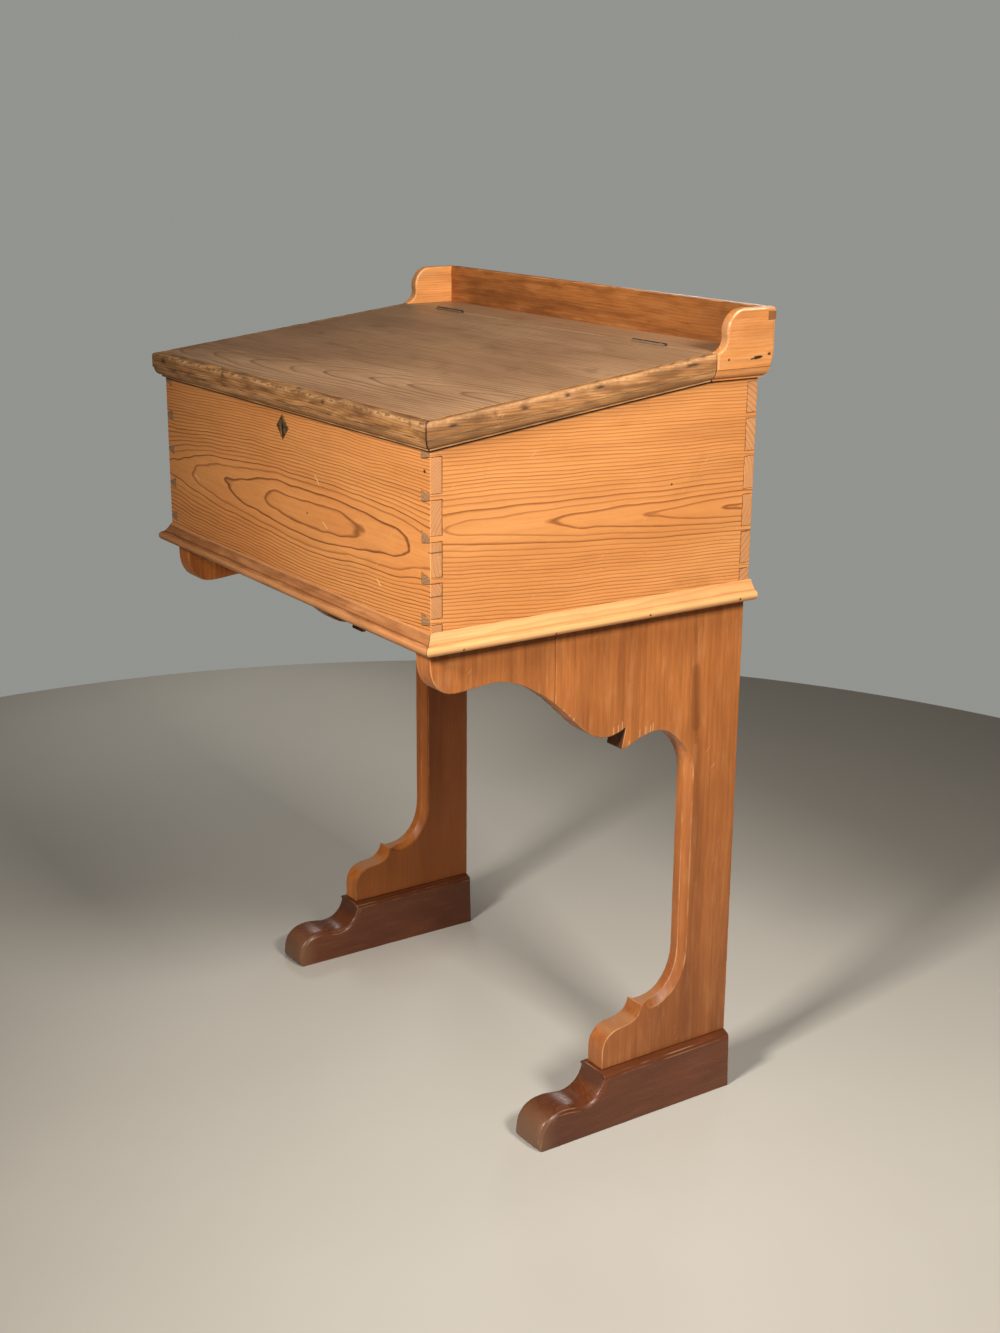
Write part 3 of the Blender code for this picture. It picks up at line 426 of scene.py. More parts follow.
def marked(board, look, tone, relief, scars, stains_and_shadow_lines, holes):
    """A colour and a height with pale scars, brown stains and painted shadow lines, and black
    holes drawn over them.
    """
    marks = [(scar, "chip_and_painted_light", SCAR_DEPTH) for scar in scars]
    # Brown strokes: real stains and painted shadow lines in grooves
    marks += [(stain, "late", 0.0) for stain in stains_and_shadow_lines]
    marks += [(hole, "dirt_and_shade", HOLE_DEPTH) for hole in holes]
    for (start, stop, half, share), key, deep in marks:
        along = board.along + board.ripple * STROKE_WANDER
        mark = stroke(along, board.across + board.fibre * half, start, stop, half) * share
        tone = blend(mark, tone, look[key])
        relief = relief - mark * deep
    return tone, relief


def paint_shadow_band(board, look, tone, level, height, slope):
    """A colour with a band of painted shadow under a line, which fades out just above it."""
    rise = board.at["Z"] - board.at["Y"] * slope - level
    band = step(rise, -height, 0.0) * (1 - step(rise, 0.001, 0.004))
    return blend(band * SHADOW_BAND_SHARE, tone, look["dirt_and_shade"])


def torn_edge(board, look, tone, relief, level, slope, share):
    """A colour and a height with pale torn patches and broken cracks under an upper edge, and
    a painted shadow line in the quirk below it.
    """
    under = level - (board.at["Z"] - board.at["Y"] * slope)
    patches = step(clouds(board, board.along * 26.0, board.seed, 0.2, detail=3.0), 0.42, 0.58)
    torn = step(under, 0.0004, 0.0014) * (1 - step(under, 0.0025, 0.0070)) * patches
    tone = blend(torn * share * TORN_SHARE, tone, look["chip_and_painted_light"])
    for pitch, wander, height in CRACKS_AND_QUIRK_SHADOW:
        tear = clouds(board, board.along * pitch + board.seed, pitch, board.seed, 4.0, 0.6)
        off = abs(under - tear * wander + height)
        broken = step(clouds(board, board.along * pitch * 1.6, board.seed, pitch, 3.0), 0.47, 0.57)
        crack_and_shadow_line = (1 - step(off, 0.0003, 0.0010)) * broken
        tone = blend(crack_and_shadow_line * share, tone, look["dirt_and_shade"])
        relief = relief - crack_and_shadow_line * CRACK_AND_QUIRK_DEPTH
    return tone, relief


# The count includes the painted shadow line in the quirk
print("lines of cracks on a torn edge:", len(CRACKS_AND_QUIRK_SHADOW))

# %% [markdown]
# Now the whole finish of a board. Edges of a piece carry two numbers of their own, chip and dent,
# which say where bare wood shows and where dirt sits; on the lid's strips chip also holds painted
# light, and in the hook and the keyhole dent holds painted shade. They are painted last, over
# everything.

# %% The finish of one board
GRAIN_HEIGHT = 0.0004


def wood(name, look, grain, face, pith, spacing, taper=(0, 0, 0, 0.05), drift=0.0, seed=0.0,
         wild=1.0, shift=0.0, crowd=(1.0, 0.0), calm=None, shadow_band=None, arris=None, fades=(),
         scars=(), stains_and_shadow_lines=(), holes=()):
    """A wood finish. grain names the axes along, across and into the board, such as XZY.
    face is the level of the shown face and the way in. pith is its place across and its depth
    under the face. taper is (place, lean, spread, rounding) of that depth along the board.
    crowd is (radius, rate): past that radius so many more rings come in each metre.
    calm is (start, full, share) across the board, where the rings grow fainter.
    grime is (level, height, slope) of a line below a piece that stands out: a painted shadow band.
    arris is (level, slope, share) of a torn upper edge: dark cracks with pale wood under them,
    and a painted shadow line in the quirk lower down.
    fades are (axis, start, full, share, key): slow changes towards other colours of the look.
    scars are pale strokes, stains brown ones and holes black ones, each as
    (start, end, half width, share) with its ends given along and across the board. The stains
    are real stains and painted shadow lines in grooves."""
    board = Board(name, grain, seed)
    count, steep = rings(board, face, pith, spacing, taper, drift, wild, shift, crowd)
    ring, late, faint = late_wood(board, look, count, steep, calm)
    tone, relief = sound_wood(board, look, ring, late, faint)
    for axis, start, full, share, key in fades:
        patchy = board.at[axis] + (board.soil_and_shade - 0.5) * (FADE_WANDER * abs(full - start))
        tone = blend(step(patchy, start, full) * share, tone, look[key])
    # A band of painted shadow under the piece above
    if shadow_band:
        tone = paint_shadow_band(board, look, tone, *shadow_band)
    if arris:
        tone, relief = torn_edge(board, look, tone, relief, *arris)
    tone, relief = marked(board, look, tone, relief, scars, stains_and_shadow_lines, holes)

    # chip also holds painted light on the strips' lower roll; dent holds painted shade in hook and
    # keyhole
    chip_and_painted_light = board.node("Attribute", {"attribute_name": "chip_and_painted_light"}, out="Fac")
    dirt_and_shade = board.node("Attribute", {"attribute_name": "dirt_and_shade"}, out="Fac")
    tone = blend(chip_and_painted_light, tone, look["chip_and_painted_light"])
    tone = blend(dirt_and_shade, tone, look["dirt_and_shade"])
    gloss = look["rough"] + board.fibre * 0.16 - late * 0.06 + board.end * 0.15
    gloss = gloss + (board.mottle - 0.5) * 0.16 + chip_and_painted_light * 0.15 + dirt_and_shade * 0.2
    bump = board.node("Bump", None, {"Strength": look["relief"], "Distance": GRAIN_HEIGHT,
                                     "Height": relief})
    return board.dress({"Base Color": tone, "Roughness": gloss, "Normal": bump,
                        "Specular IOR Level": look["shine"]})


print("height of the grain, mm:", 1000 * GRAIN_HEIGHT)

# %% [markdown]
# A look is a set of colours and shares. early and late are the two woods of a ring, chip is bare
# wood and dent is dirt; the chip colour also serves as painted light, and the dent and soil colours
# as painted shade. line says where in a ring the late wood begins and where it is full, and each
# share says how strongly that layer shows. The other looks start from the honey pine of the front
# and change what differs: the lid is bleached, the legs are red, the feet are dark. Three looks are
# lit or shaded copies, so painted light and shade: the gallery back's darker one, the left gallery
# end's brighter one and the left leg's deeper red.

# %% The looks of the pine box, its mouldings and its gallery
HONEY = {
    "early": colour(223, 150, 84), "early_dark": colour(209, 133, 70), "late": colour(90, 43, 15),
    "fibre": colour(190, 118, 60), "end": colour(174, 126, 84), "soil_and_shade": colour(120, 70, 36),
    "chip_and_painted_light": colour(232, 180, 118), "dirt_and_shade": colour(46, 26, 13), "line": (0.50, 0.93),
    "contrast": 1.0, "faint_share": 0.06, "hair_share": 0.12, "streak_share": 0.12,
    "smudge_share": 0.06, "soil_share": 0.22, "end_share": 0.62, "scratch_share": 0.25,
    "rough": 0.48, "relief": 0.25, "shine": 0.35,
}
SIDE = dict(HONEY, early=colour(213, 146, 84), early_dark=colour(200, 131, 70),
            late=colour(108, 54, 20), line=(0.54, 0.93), contrast=0.85, end=colour(110, 96, 75))
# The gallery back's look: its own duller grain, and a darker tone that is painted shade
SHADED_PINE = dict(HONEY, early=colour(208, 132, 66), early_dark=colour(164, 97, 45),
            late=colour(92, 48, 20), fibre=colour(146, 86, 42), end=colour(150, 102, 60),
            soil_and_shade=colour(84, 46, 22), chip_and_painted_light=colour(222, 160, 96), line=(0.30, 0.88), contrast=0.16,
            streak_share=0.45, hair_share=0.35, smudge_share=0.35, soil_share=0.45)
DULL = dict(SHADED_PINE, early=colour(186, 124, 74), early_dark=colour(160, 100, 56),
            late=colour(92, 52, 26), fibre=colour(136, 84, 46), chip_and_painted_light=colour(216, 152, 98),
            streak_share=0.30, hair_share=0.50, soil_share=0.40)
GOLD = dict(HONEY, early=colour(211, 144, 82), early_dark=colour(196, 126, 68), contrast=0.12,
            chip_and_painted_light=colour(246, 212, 168), line=(0.30, 0.88), streak_share=0.34, faint_share=0.02,
            hair_share=0.22, smudge_share=0.12)
# A brighter copy of the gold look for the left gallery end: painted light
PAINTED_LIT_GOLD = dict(GOLD, early=colour(250, 174, 100), early_dark=colour(240, 158, 86))
YELLOW = dict(HONEY, early=colour(214, 164, 106), early_dark=colour(201, 144, 87),
              late=colour(150, 92, 46), fibre=colour(188, 130, 74), contrast=0.25,
              line=(0.45, 0.9), streak_share=0.06, hair_share=0.30)
print("a look has", len(HONEY), "entries:", ", ".join(HONEY))

# %% The looks of the lid, the legs, the feet and the hidden boards
WORN = dict(HONEY, early=colour(190, 148, 109), early_dark=colour(158, 119, 85),
            late=colour(80, 52, 33), fibre=colour(128, 92, 64), soil_and_shade=colour(88, 61, 42),
            end=colour(110, 80, 54), chip_and_painted_light=colour(196, 156, 112), line=(0.56, 0.92), contrast=0.68,
            streak_share=0.10, hair_share=0.34, smudge_share=0.08, soil_share=0.45,
            scratch_share=0.70, rough=0.46)
STRIP = dict(WORN, early=colour(190, 134, 80), early_dark=colour(154, 104, 60),
             late=colour(74, 44, 24), fibre=colour(126, 86, 50), soil_and_shade=colour(72, 48, 32),
             chip_and_painted_light=colour(218, 166, 112), streak_share=0.55, hair_share=0.95, smudge_share=0.60)
RIGHT_STRIP = dict(STRIP, early_dark=colour(160, 108, 62), late=colour(88, 56, 30),
                   fibre=colour(144, 100, 60))
RED = dict(HONEY, early=colour(198, 122, 63), early_dark=colour(158, 91, 42),
           late=colour(102, 54, 24), fibre=colour(140, 82, 41), chip_and_painted_light=colour(228, 176, 124),
           line=(0.10, 0.80), contrast=0.06, streak_share=0.50, faint_share=0.0, hair_share=0.24,
           smudge_share=0.15, rough=0.42)
# A more saturated copy of the red look for the left leg, which stands in shade: painted shade
SHADED_RED = dict(RED, early=colour(206, 122, 54), early_dark=colour(160, 88, 34),
            fibre=colour(132, 72, 30), late=colour(98, 46, 12), chip_and_painted_light=colour(206, 140, 82),
            rough=0.40, shine=0.30)
MAHOGANY = dict(HONEY, early=colour(113, 60, 32), early_dark=colour(88, 44, 21),
                late=colour(58, 28, 14), fibre=colour(74, 38, 20), end=colour(70, 40, 26),
                soil_and_shade=colour(46, 26, 16), chip_and_painted_light=colour(144, 110, 80), contrast=0.3,
                smudge_share=0.12, rough=0.34, shine=0.40)
RAW = dict(HONEY, early=colour(196, 152, 106), early_dark=colour(176, 130, 88),
           late=colour(140, 94, 56), fibre=colour(160, 114, 74), contrast=0.9, rough=0.7,
           shine=0.2)
print("the worn lid keeps", WORN["contrast"], "of the honey pine's contrast")

# %% [markdown]
# ### The box
# Each board has its own cut. The front board was sawn close under the bark, so it shows a long
# eye with pointed rings towards the left. The right side shows tongues that point to the front.
# A single set of rings for the whole box would look turned from one block, so none is shared.

# %% Give the boards of the box their wood
LID_SLOPE = math.radians(6.77)
LID_TILT = math.tan(LID_SLOPE)
# A band of painted shadow just under the lid's strips, on the front and side boards
SHADOW_UNDER_LID = (0.8778, 0.0024, LID_TILT)
FRONT_SCARS = [((0.076, 0.788), (0.084, 0.780), 0.0011, 0.9),
               ((0.211, 0.697), (0.219, 0.691), 0.0011, 0.9),
               ((-0.243, 0.738), (-0.231, 0.734), 0.0012, 0.9),
               ((0.092, 0.738), (0.102, 0.732), 0.0010, 0.9)]
FRONT_HOLES = [((0.055, 0.7416), (0.055, 0.7416), 0.0020, 0.9),
               ((0.3092, 0.8303), (0.3102, 0.8300), 0.0024, 0.95)]
TAIL_CRACKS = [((0.3165, 0.7470), (0.3225, 0.7462), 0.0010, 0.70),
               ((0.3185, 0.6996), (0.3225, 0.7000), 0.0010, 0.70)]
SIDE_HOLES = [((0.0986, 0.786), (0.0986, 0.786), 0.0018, 0.9)]
woods = {
    "front_board": wood("front board pine", HONEY, "XZY", (-0.219, 1), (0.7410, 0.0543), 0.0041,
                        (0.055, -0.002, 0.047, 0.12), 0.01, 1.0, shift=0.60, crowd=(0.072, 110.0),
                        calm=(0.785, 0.835, 0.25), shadow_band=SHADOW_UNDER_LID,
                        scars=FRONT_SCARS, holes=FRONT_HOLES + TAIL_CRACKS),
    "back_board": wood("back board pine", HONEY, "XZY", (0.219, -1), (0.78, 0.04), 0.0054,
                       (-0.1, 0.02, 0.08, 0.10), -0.02, 7.0),
    "right_side_board": wood("right side pine", SIDE, "YZX", (0.320, -1), (0.7607, 0.019), 0.0050,
                             (0.0, -0.040, 0.0, 0.05), -0.045, 13.0, shift=0.28,
                             crowd=(0.040, 60.0), calm=(0.80, 0.86, 0.15), shadow_band=SHADOW_UNDER_LID,
                             holes=SIDE_HOLES),
    "left_side_board": wood("left side pine", SIDE, "YZX", (-0.320, 1), (0.745, 0.024), 0.0060,
                            (0.0, 0.045, 0.0, 0.05), 0.03, 19.0, shadow_band=SHADOW_UNDER_LID),
    "bottom_board": wood("bottom pine", RAW, "XYZ", (0.640, 1), (0.03, 0.05), 0.0040,
                         (0.0, 0.01, 0.03, 0.05), 0.02, 23.0),
}
print("boards with wood:", len(woods))

# %% [markdown]
# ### The lid and the gallery
# The lid's panel is bleached by light, and its left part is painted darker, as painted shade. Its
# strips are sawn so that their rings show as plain lines. The gallery's ends are brighter than its
# back, which stands in their shade: the back's darker look and its darkening towards the right
# end are painted shade, and the left end's brighter look is painted light.

# %% Give the lid and the gallery their wood
LID_TOP = 0.9106
# Painted shade: the lid panel grows darker towards its left end, in the soil colour
LID_SHADE_FADE = ("X", 0.05, -0.28, 0.22, "soil_and_shade")
# Painted shade on the gallery back, growing darker towards its right end
SHADE_FADE = ("X", -0.05, 0.30, 0.52, "late")
END_HOLES = [((0.162, 0.921), (0.1625, 0.921), 0.0018, 0.9),
             ((0.195, 0.9198), (0.211, 0.9218), 0.0013, 0.9),
             ((0.201, 0.9207), (0.208, 0.9215), 0.0027, 0.95),
             ((0.2205, 0.924), (0.2225, 0.9243), 0.0020, 0.9)]
woods |= {
    "lid_panel": wood("lid pine", WORN, "XYZ", (0.91, -1), (-0.149, 0.030), 0.0055,
                      (0.39, 0.0, 0.085, 0.12), 0.10, 29.0, fades=[LID_SHADE_FADE]),
    "lid_moulding_front": wood("lid front strip pine", STRIP, "XZY", (-0.23, 1), (0.70, 0.05),
                               0.003, seed=31.0, arris=(LID_TOP, LID_TILT, 0.85)),
    "lid_moulding_right": wood("lid right strip pine", RIGHT_STRIP, "YZX", (0.33, -1),
                               (0.72, 0.05), 0.003, seed=37.0, arris=(LID_TOP, LID_TILT, 0.35)),
    "lid_moulding_left": wood("lid left strip pine", STRIP, "YZX", (-0.33, 1), (0.72, 0.05),
                              0.003, seed=41.0, arris=(LID_TOP, LID_TILT, 0.6)),
    "hinge_rail": wood("rail pine", WORN, "XYZ", (0.928, -1), (0.10, 0.05), 0.003, seed=43.0),
    "gallery_back": wood("gallery back pine", SHADED_PINE, "XZY", (0.218, 1), (0.90, 0.04), 0.003,
                         seed=47.0, fades=[SHADE_FADE]),
    "gallery_left_end": wood("gallery left pine", PAINTED_LIT_GOLD, "YZX", (-0.334, 1), (0.90, 0.03), 0.003,
                             seed=53.0),
    "gallery_right_end": wood("gallery right pine", GOLD, "YZX", (0.334, -1), (0.90, 0.03), 0.003,
                              seed=59.0, holes=END_HOLES),
}
print("boards with wood:", len(woods))

# %% [markdown]
# ### Base, feet and legs
# The base moulding gets painted shadow lines in its quirk and under its bead, and is rubbed on its
# rounds, so long strokes run along it. The legs are nearly quarter sawn, with fine straight lines
# up the post, and have a band of painted shadow just under the base. The right leg darkens towards
# the bottom; the left one gets a deeper red and painted shade. The feet are of a dark wood, scuffed
# at the toes.

# %% Give the base, the feet and the cleats their wood
TOE_FADE = ("Y", -0.040, -0.072, 0.32, "chip_and_painted_light")
BASE_NAILS = [((y, z), (y, z), 0.0020, 0.9) for y, z in
              ((-0.186, 0.6415), (-0.067, 0.641), (0.0625, 0.6434), (0.1955, 0.6433))]
BASE_SCARS = [((-0.35, 0.6458), (0.35, 0.6458), 0.0036, 0.35),
              ((-0.35, 0.6608), (0.35, 0.6608), 0.0018, 0.50)]
# Painted shadow lines in the base moulding's quirk and under its bead
BASE_SHADOW_LINES = [((-0.35, 0.6506), (0.35, 0.6506), 0.0011, 0.60),
               ((-0.35, 0.6392), (0.35, 0.6392), 0.0020, 0.60)]
# A painted shadow line in the quirk of the right base moulding
QUIRK_SHADOW = [((-0.35, 0.6506), (0.35, 0.6506), 0.0010, 0.45)]
woods |= {
    "base_moulding_front": wood("base front pine", DULL, "XZY", (-0.2328, 1), (0.60, 0.05), 0.004,
                                seed=61.0, scars=BASE_SCARS, stains_and_shadow_lines=BASE_SHADOW_LINES),
    "base_moulding_right": wood("base right pine", YELLOW, "YZX", (0.3338, -1), (0.60, 0.05),
                                0.004, seed=67.0, scars=BASE_SCARS[:1], stains_and_shadow_lines=QUIRK_SHADOW,
                                holes=BASE_NAILS),
    "base_moulding_left": wood("base left pine", YELLOW, "YZX", (-0.3338, 1), (0.60, 0.05), 0.004,
                               seed=71.0),
    "left_foot": wood("left foot mahogany", MAHOGANY, "YZX", (-0.3231, 1), (-0.05, 0.05), 0.003,
                      seed=73.0, fades=[TOE_FADE]),
    "right_foot": wood("right foot mahogany", MAHOGANY, "YZX", (0.3231, -1), (-0.05, 0.05), 0.003,
                       seed=79.0, fades=[TOE_FADE]),
    "left_cleat": wood("left cleat pine", RAW, "YZX", (-0.2823, 1), (0.60, 0.03), 0.004, seed=83.0),
    "right_cleat": wood("right cleat pine", RAW, "YZX", (0.2823, -1), (0.60, 0.03), 0.004,
                        seed=89.0),
}
print("boards with wood:", len(woods))

# %% Give the legs their wood
# A band of painted shadow on the legs, just under the base moulding
SHADOW_UNDER_BASE = (0.6385, 0.0020, 0.0)
LEG_FADE = ("Z", 0.58, 0.30, 0.30, "late")
# Painted shade on the left leg's inner face, and a lighter tone towards its bottom
INNER_SHADE_FADES = [("X", -0.2850, -0.2832, 0.66, "late"), ("Z", 0.30, 0.12, 0.18, "early")]
# Fibres torn out of the apron's lower edge: place across it, lowest and highest point
TORN_FIBRES = [(0.0445, 0.502, 0.514), (0.0385, 0.502, 0.511), (0.0320, 0.502, 0.5095),
               (0.0704, 0.492, 0.500), (0.0790, 0.494, 0.5015), (0.0895, 0.496, 0.505),
               (0.0860, 0.495, 0.502), (0.0549, 0.480, 0.489), (-0.0393, 0.536, 0.5435),
               (-0.0310, 0.529, 0.5365), (-0.0250, 0.524, 0.531)]
LEG_SCARS = [((low, y), (high, y), 0.0011, 0.40) for y, low, high in TORN_FIBRES]
LEG_STAINS = [((0.640, 0.1465), (0.470, 0.1560), 0.0040, 0.35),
              ((0.560, 0.1515), (0.490, 0.1555), 0.0090, 0.40)]
for side, look, fades, level, way, seed in (("left", SHADED_RED, INNER_SHADE_FADES, -0.3116, 1, 97.0),
                                            ("right", RED, [LEG_FADE], 0.3116, -1, 107.0)):
    woods[f"{side}_leg_front_board"] = wood(f"{side} leg front pine", look, "ZYX", (level, way),
                                            (-0.30, 0.10), 0.0060, seed=seed, wild=1.5,
                                            shadow_band=SHADOW_UNDER_BASE, scars=LEG_SCARS)
    woods[f"{side}_leg_rear_board"] = wood(f"{side} leg rear pine", look, "ZYX", (level, way),
                                           (-0.10, 0.06), 0.0070, seed=seed + 5, wild=1.5,
                                           shadow_band=SHADOW_UNDER_BASE, fades=fades, scars=LEG_SCARS,
                                           stains_and_shadow_lines=LEG_STAINS)
print("boards with wood:", len(woods))

# %% [markdown]
# ## Metal
# The hinges and the escutcheon are old brass gone brown, and the screws and the lock are iron.
# Both are dull: the bright metal shows only where hands and screwdrivers rub. A noise that is
# cut off softly makes islands of rubbed metal in a skin of tarnish. The hinge leaves are worn
# flush with the wood and nearly its colour, with a painted shadow line where the two leaves meet.

# %% Finish the hinges, the lock and the screws
HINGE = Vector((0, 0.1465, 0.928))
SEAM_SHADOW = colour(38, 26, 17)
BRIGHT_METAL = 0.9
ISLANDS, GRIT = 160.0, 1500.0


def tarnished(name, bright, skin, rough, share, shine=0.25, seam=None):
    """A metal finish: bright islands in a dull skin. seam is (Y, half width) of a painted
    shadow line.
    """
    f = Finish(bpy.data.materials.new(name))
    seen = f.node("TexCoord", out="Object")
    at = [f.node("SeparateXYZ", None, {0: seen}, out=k) for k in range(3)]
    cloud = clouds(f, *[a * ISLANDS for a in at], detail=4.0, rough=0.6)
    fine = clouds(f, *[a * GRIT for a in at], detail=2.0)
    rubbed = step(cloud + fine * 0.15, share - 0.08, share + 0.12)
    edge = f.node("Attribute", {"attribute_name": "chip_and_painted_light"}, out="Fac")
    rubbed = rubbed.math("MAXIMUM", rubbed, edge)
    tone = blend(rubbed, skin, bright)
    if seam:
        # A painted shadow line where the two hinge leaves meet
        ragged_edge = abs(at[1] - seam[0]) + (cloud - 0.5) * 0.002
        tone = blend(1 - step(ragged_edge, seam[1] * 0.7, seam[1]), tone, SEAM_SHADOW)
    bump = f.node("Bump", None, {"Strength": 0.3, "Distance": 0.0002, "Height": cloud + fine * 0.4})
    return f.dress({"Base Color": tone, "Metallic": shine + rubbed * (BRIGHT_METAL - shine),
                    "Roughness": rough + fine * 0.2 - rubbed * 0.18, "Normal": bump})


metals = {
    "old_brass": tarnished("old brass", colour(176, 136, 78), colour(70, 48, 27), 0.50, 0.62),
    "iron": tarnished("iron", colour(120, 112, 102), colour(50, 40, 32), 0.58, 0.66),
}
hinge_brass = tarnished("hinge brass", colour(142, 108, 78), colour(122, 92, 66), 0.6, 0.78, 0.0,
                        seam=(HINGE.y, 0.0024))
slots = {part["node"]: part["material_slot"] for part in frame["record"]["subparts"]}
for name, node in frame["nodes"].items():
    if name not in woods:
        node.data.materials.clear()
        worn_flush = "leaf" in name and "screw" not in name
        node.data.materials.append(hinge_brass if worn_flush else metals[slots[name]])
print("metal pieces:", len(frame["nodes"]) - len(woods))

# %% [markdown]
# ## Eased and rubbed edges
# No edge of a used desk is sharp. A Bevel modifier could round them, but it would round every
# corner alike. So each wooden piece is copied, its triangles are made to share their points, and
# only the true corners are rounded. The corners are first cut into short lengths, so that each
# length can be rubbed or chipped differently. A finished copy stands for its solid.

# %% Copy a solid, find its corners and finish a piece
JOIN_ANGLE, CORNER_ANGLE = math.radians(0.6), math.radians(28)
SHARP_ANGLE = 1.3 * CORNER_ANGLE
SAME_POINT = 1e-5


def limit(value):
    return min(1.0, max(0.0, value))


def ragged(point, pitch):
    """A number from about -1 to 1 that wanders from point to point, coarse and fine together."""
    return 0.65 * noise.noise(point / pitch) + 0.35 * noise.noise(point / pitch * 3.7)


def joined_copy(name, whole=False):
    """A copy of a solid whose triangles share their points, or are joined into whole faces."""
    form = bmesh.new()
    form.from_mesh(frame["nodes"][name].data)
    bmesh.ops.remove_doubles(form, verts=form.verts, dist=SAME_POINT)
    if whole:
        bmesh.ops.dissolve_limit(form, angle_limit=JOIN_ANGLE, verts=form.verts, edges=form.edges)
    return form


def corners_of(form):
    return [e for e in form.edges if len(e.link_faces) == 2
            and e.calc_face_angle(0) > CORNER_ANGLE]


def finished(name, form, *nodes):
    """Turns a form into a smooth piece that stands for its nodes and rides with them."""
    for face in form.faces:
        face.smooth = True
    for edge in form.edges:
        edge.smooth = edge.calc_face_angle(0) < SHARP_ANGLE
    mesh = bpy.data.meshes.new(name)
    form.to_mesh(mesh)
    form.free()
    piece = bpy.data.objects.new(name, mesh)
    bpy.context.scene.collection.objects.link(piece)
    even = piece.modifiers.new("even_light", "WEIGHTED_NORMAL")
    even.keep_sharp = True
    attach(piece, frame["nodes"][nodes[0]]["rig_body"])
    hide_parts(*nodes)
    piece.data.materials.append(woods.get(nodes[0]) or metals[slots[nodes[0]]])
    return piece


counts = {name: len(corners_of(joined_copy(name))) for name in ("front_board", "left_foot")}
print("corner edges before they are cut:", counts)

# %% [markdown]
# Not every corner wears pale. Dirt fills the lines of the dovetails and the mitres of the base.
# Some steps are narrower than the rounding and stay sharp, or their faces would fold over each
# other. The gallery's flat triangles are thin slivers, so they are joined into whole faces first.

# %% Where dirt sits in a joint, and where a corner stays sharp
TAIL_X, PIN_Y = 0.299, 0.198
CORNER_X, CORNER_Y = 0.3188, -0.2178
BASE_MITRE, MITRE_HALF = 0.101, 0.0012
STEP_TOP, LEDGE_TOP, BACK_END = 0.9112, 0.9070, 0.3205
NOTCH_FRONT, NOTCH_LOW, NOTCH_HIGH = 0.2172, 0.9610, 0.9725
BED_INNER, BED_OUTER = 0.0102, 0.03
KEYHOLE, KEYHOLE_REACH, FRONT_FACE = Vector((0, 0, 0.833)), 0.011, -0.2187


def on_corner(at):
    """True on the front right corner of the box itself, which is rubbed and not dirty."""
    return at.x > CORNER_X and at.y < CORNER_Y


def on_base_mitre(at):
    return abs(abs(at.x) + at.y - BASE_MITRE) < MITRE_HALF


def moulded_end(at):
    """True on the small moulding under a gallery end and round the notch for the back's tail."""
    return at.z < STEP_TOP or (at.y > NOTCH_FRONT and NOTCH_LOW < at.z < NOTCH_HIGH)


def round_escutcheon(at):
    """True on the shallow bed that is cut for the escutcheon."""
    return at.y < -0.2 and BED_INNER < math.hypot(at.x, at.z - KEYHOLE.z) < BED_OUTER


JOINTS = {
    "front_board": lambda at: at.x > TAIL_X and not on_corner(at),
    "back_board": lambda at: abs(at.x) > TAIL_X,
    "left_side_board": lambda at: abs(at.y) > PIN_Y,
    "right_side_board": lambda at: abs(at.y) > PIN_Y and at.x > 0.3 and not on_corner(at),
    "base_moulding_front": on_base_mitre,
    "base_moulding_left": on_base_mitre,
    "base_moulding_right": on_base_mitre,
}
SHARP = {
    "gallery_left_end": moulded_end,
    "gallery_right_end": moulded_end,
    "gallery_back": lambda at: abs(at.x) > BACK_END or at.z < LEDGE_TOP,
    "front_board": round_escutcheon,
}
WHOLE = {"gallery_back", "gallery_left_end", "gallery_right_end"}
print("pieces with dirty joints:", len(JOINTS), "with sharp steps:", len(SHARP))

# %% [markdown]
# The rounding is a bevel of three strips. Its middle points are pushed in where a wandering
# number is high, and turn pale there. The hook under the apron and the keyhole get painted shade
# inside.

# %% Ease the wooden pieces and the escutcheon
HOOK, HOOK_REACH = Vector((0, 0.042, 0.490)), 0.022
RUB_PITCH, DIRT_PITCH, LENGTH_PITCH = 0.022, 0.009, 0.007
LEAST_RUB, RUB_DEPTH, LEAST_DIRT, HOOK_SHADE = 0.15, 0.45, 0.30, 0.85


def cut_corners(form):
    """Cuts each corner into lengths of about a pitch, the longest ones first."""
    for parts in (16, 4, 2):
        long = [e for e in corners_of(form) if e.calc_length() > LENGTH_PITCH * parts * 0.75]
        bmesh.ops.subdivide_edges(form, edges=long, cuts=parts - 1)


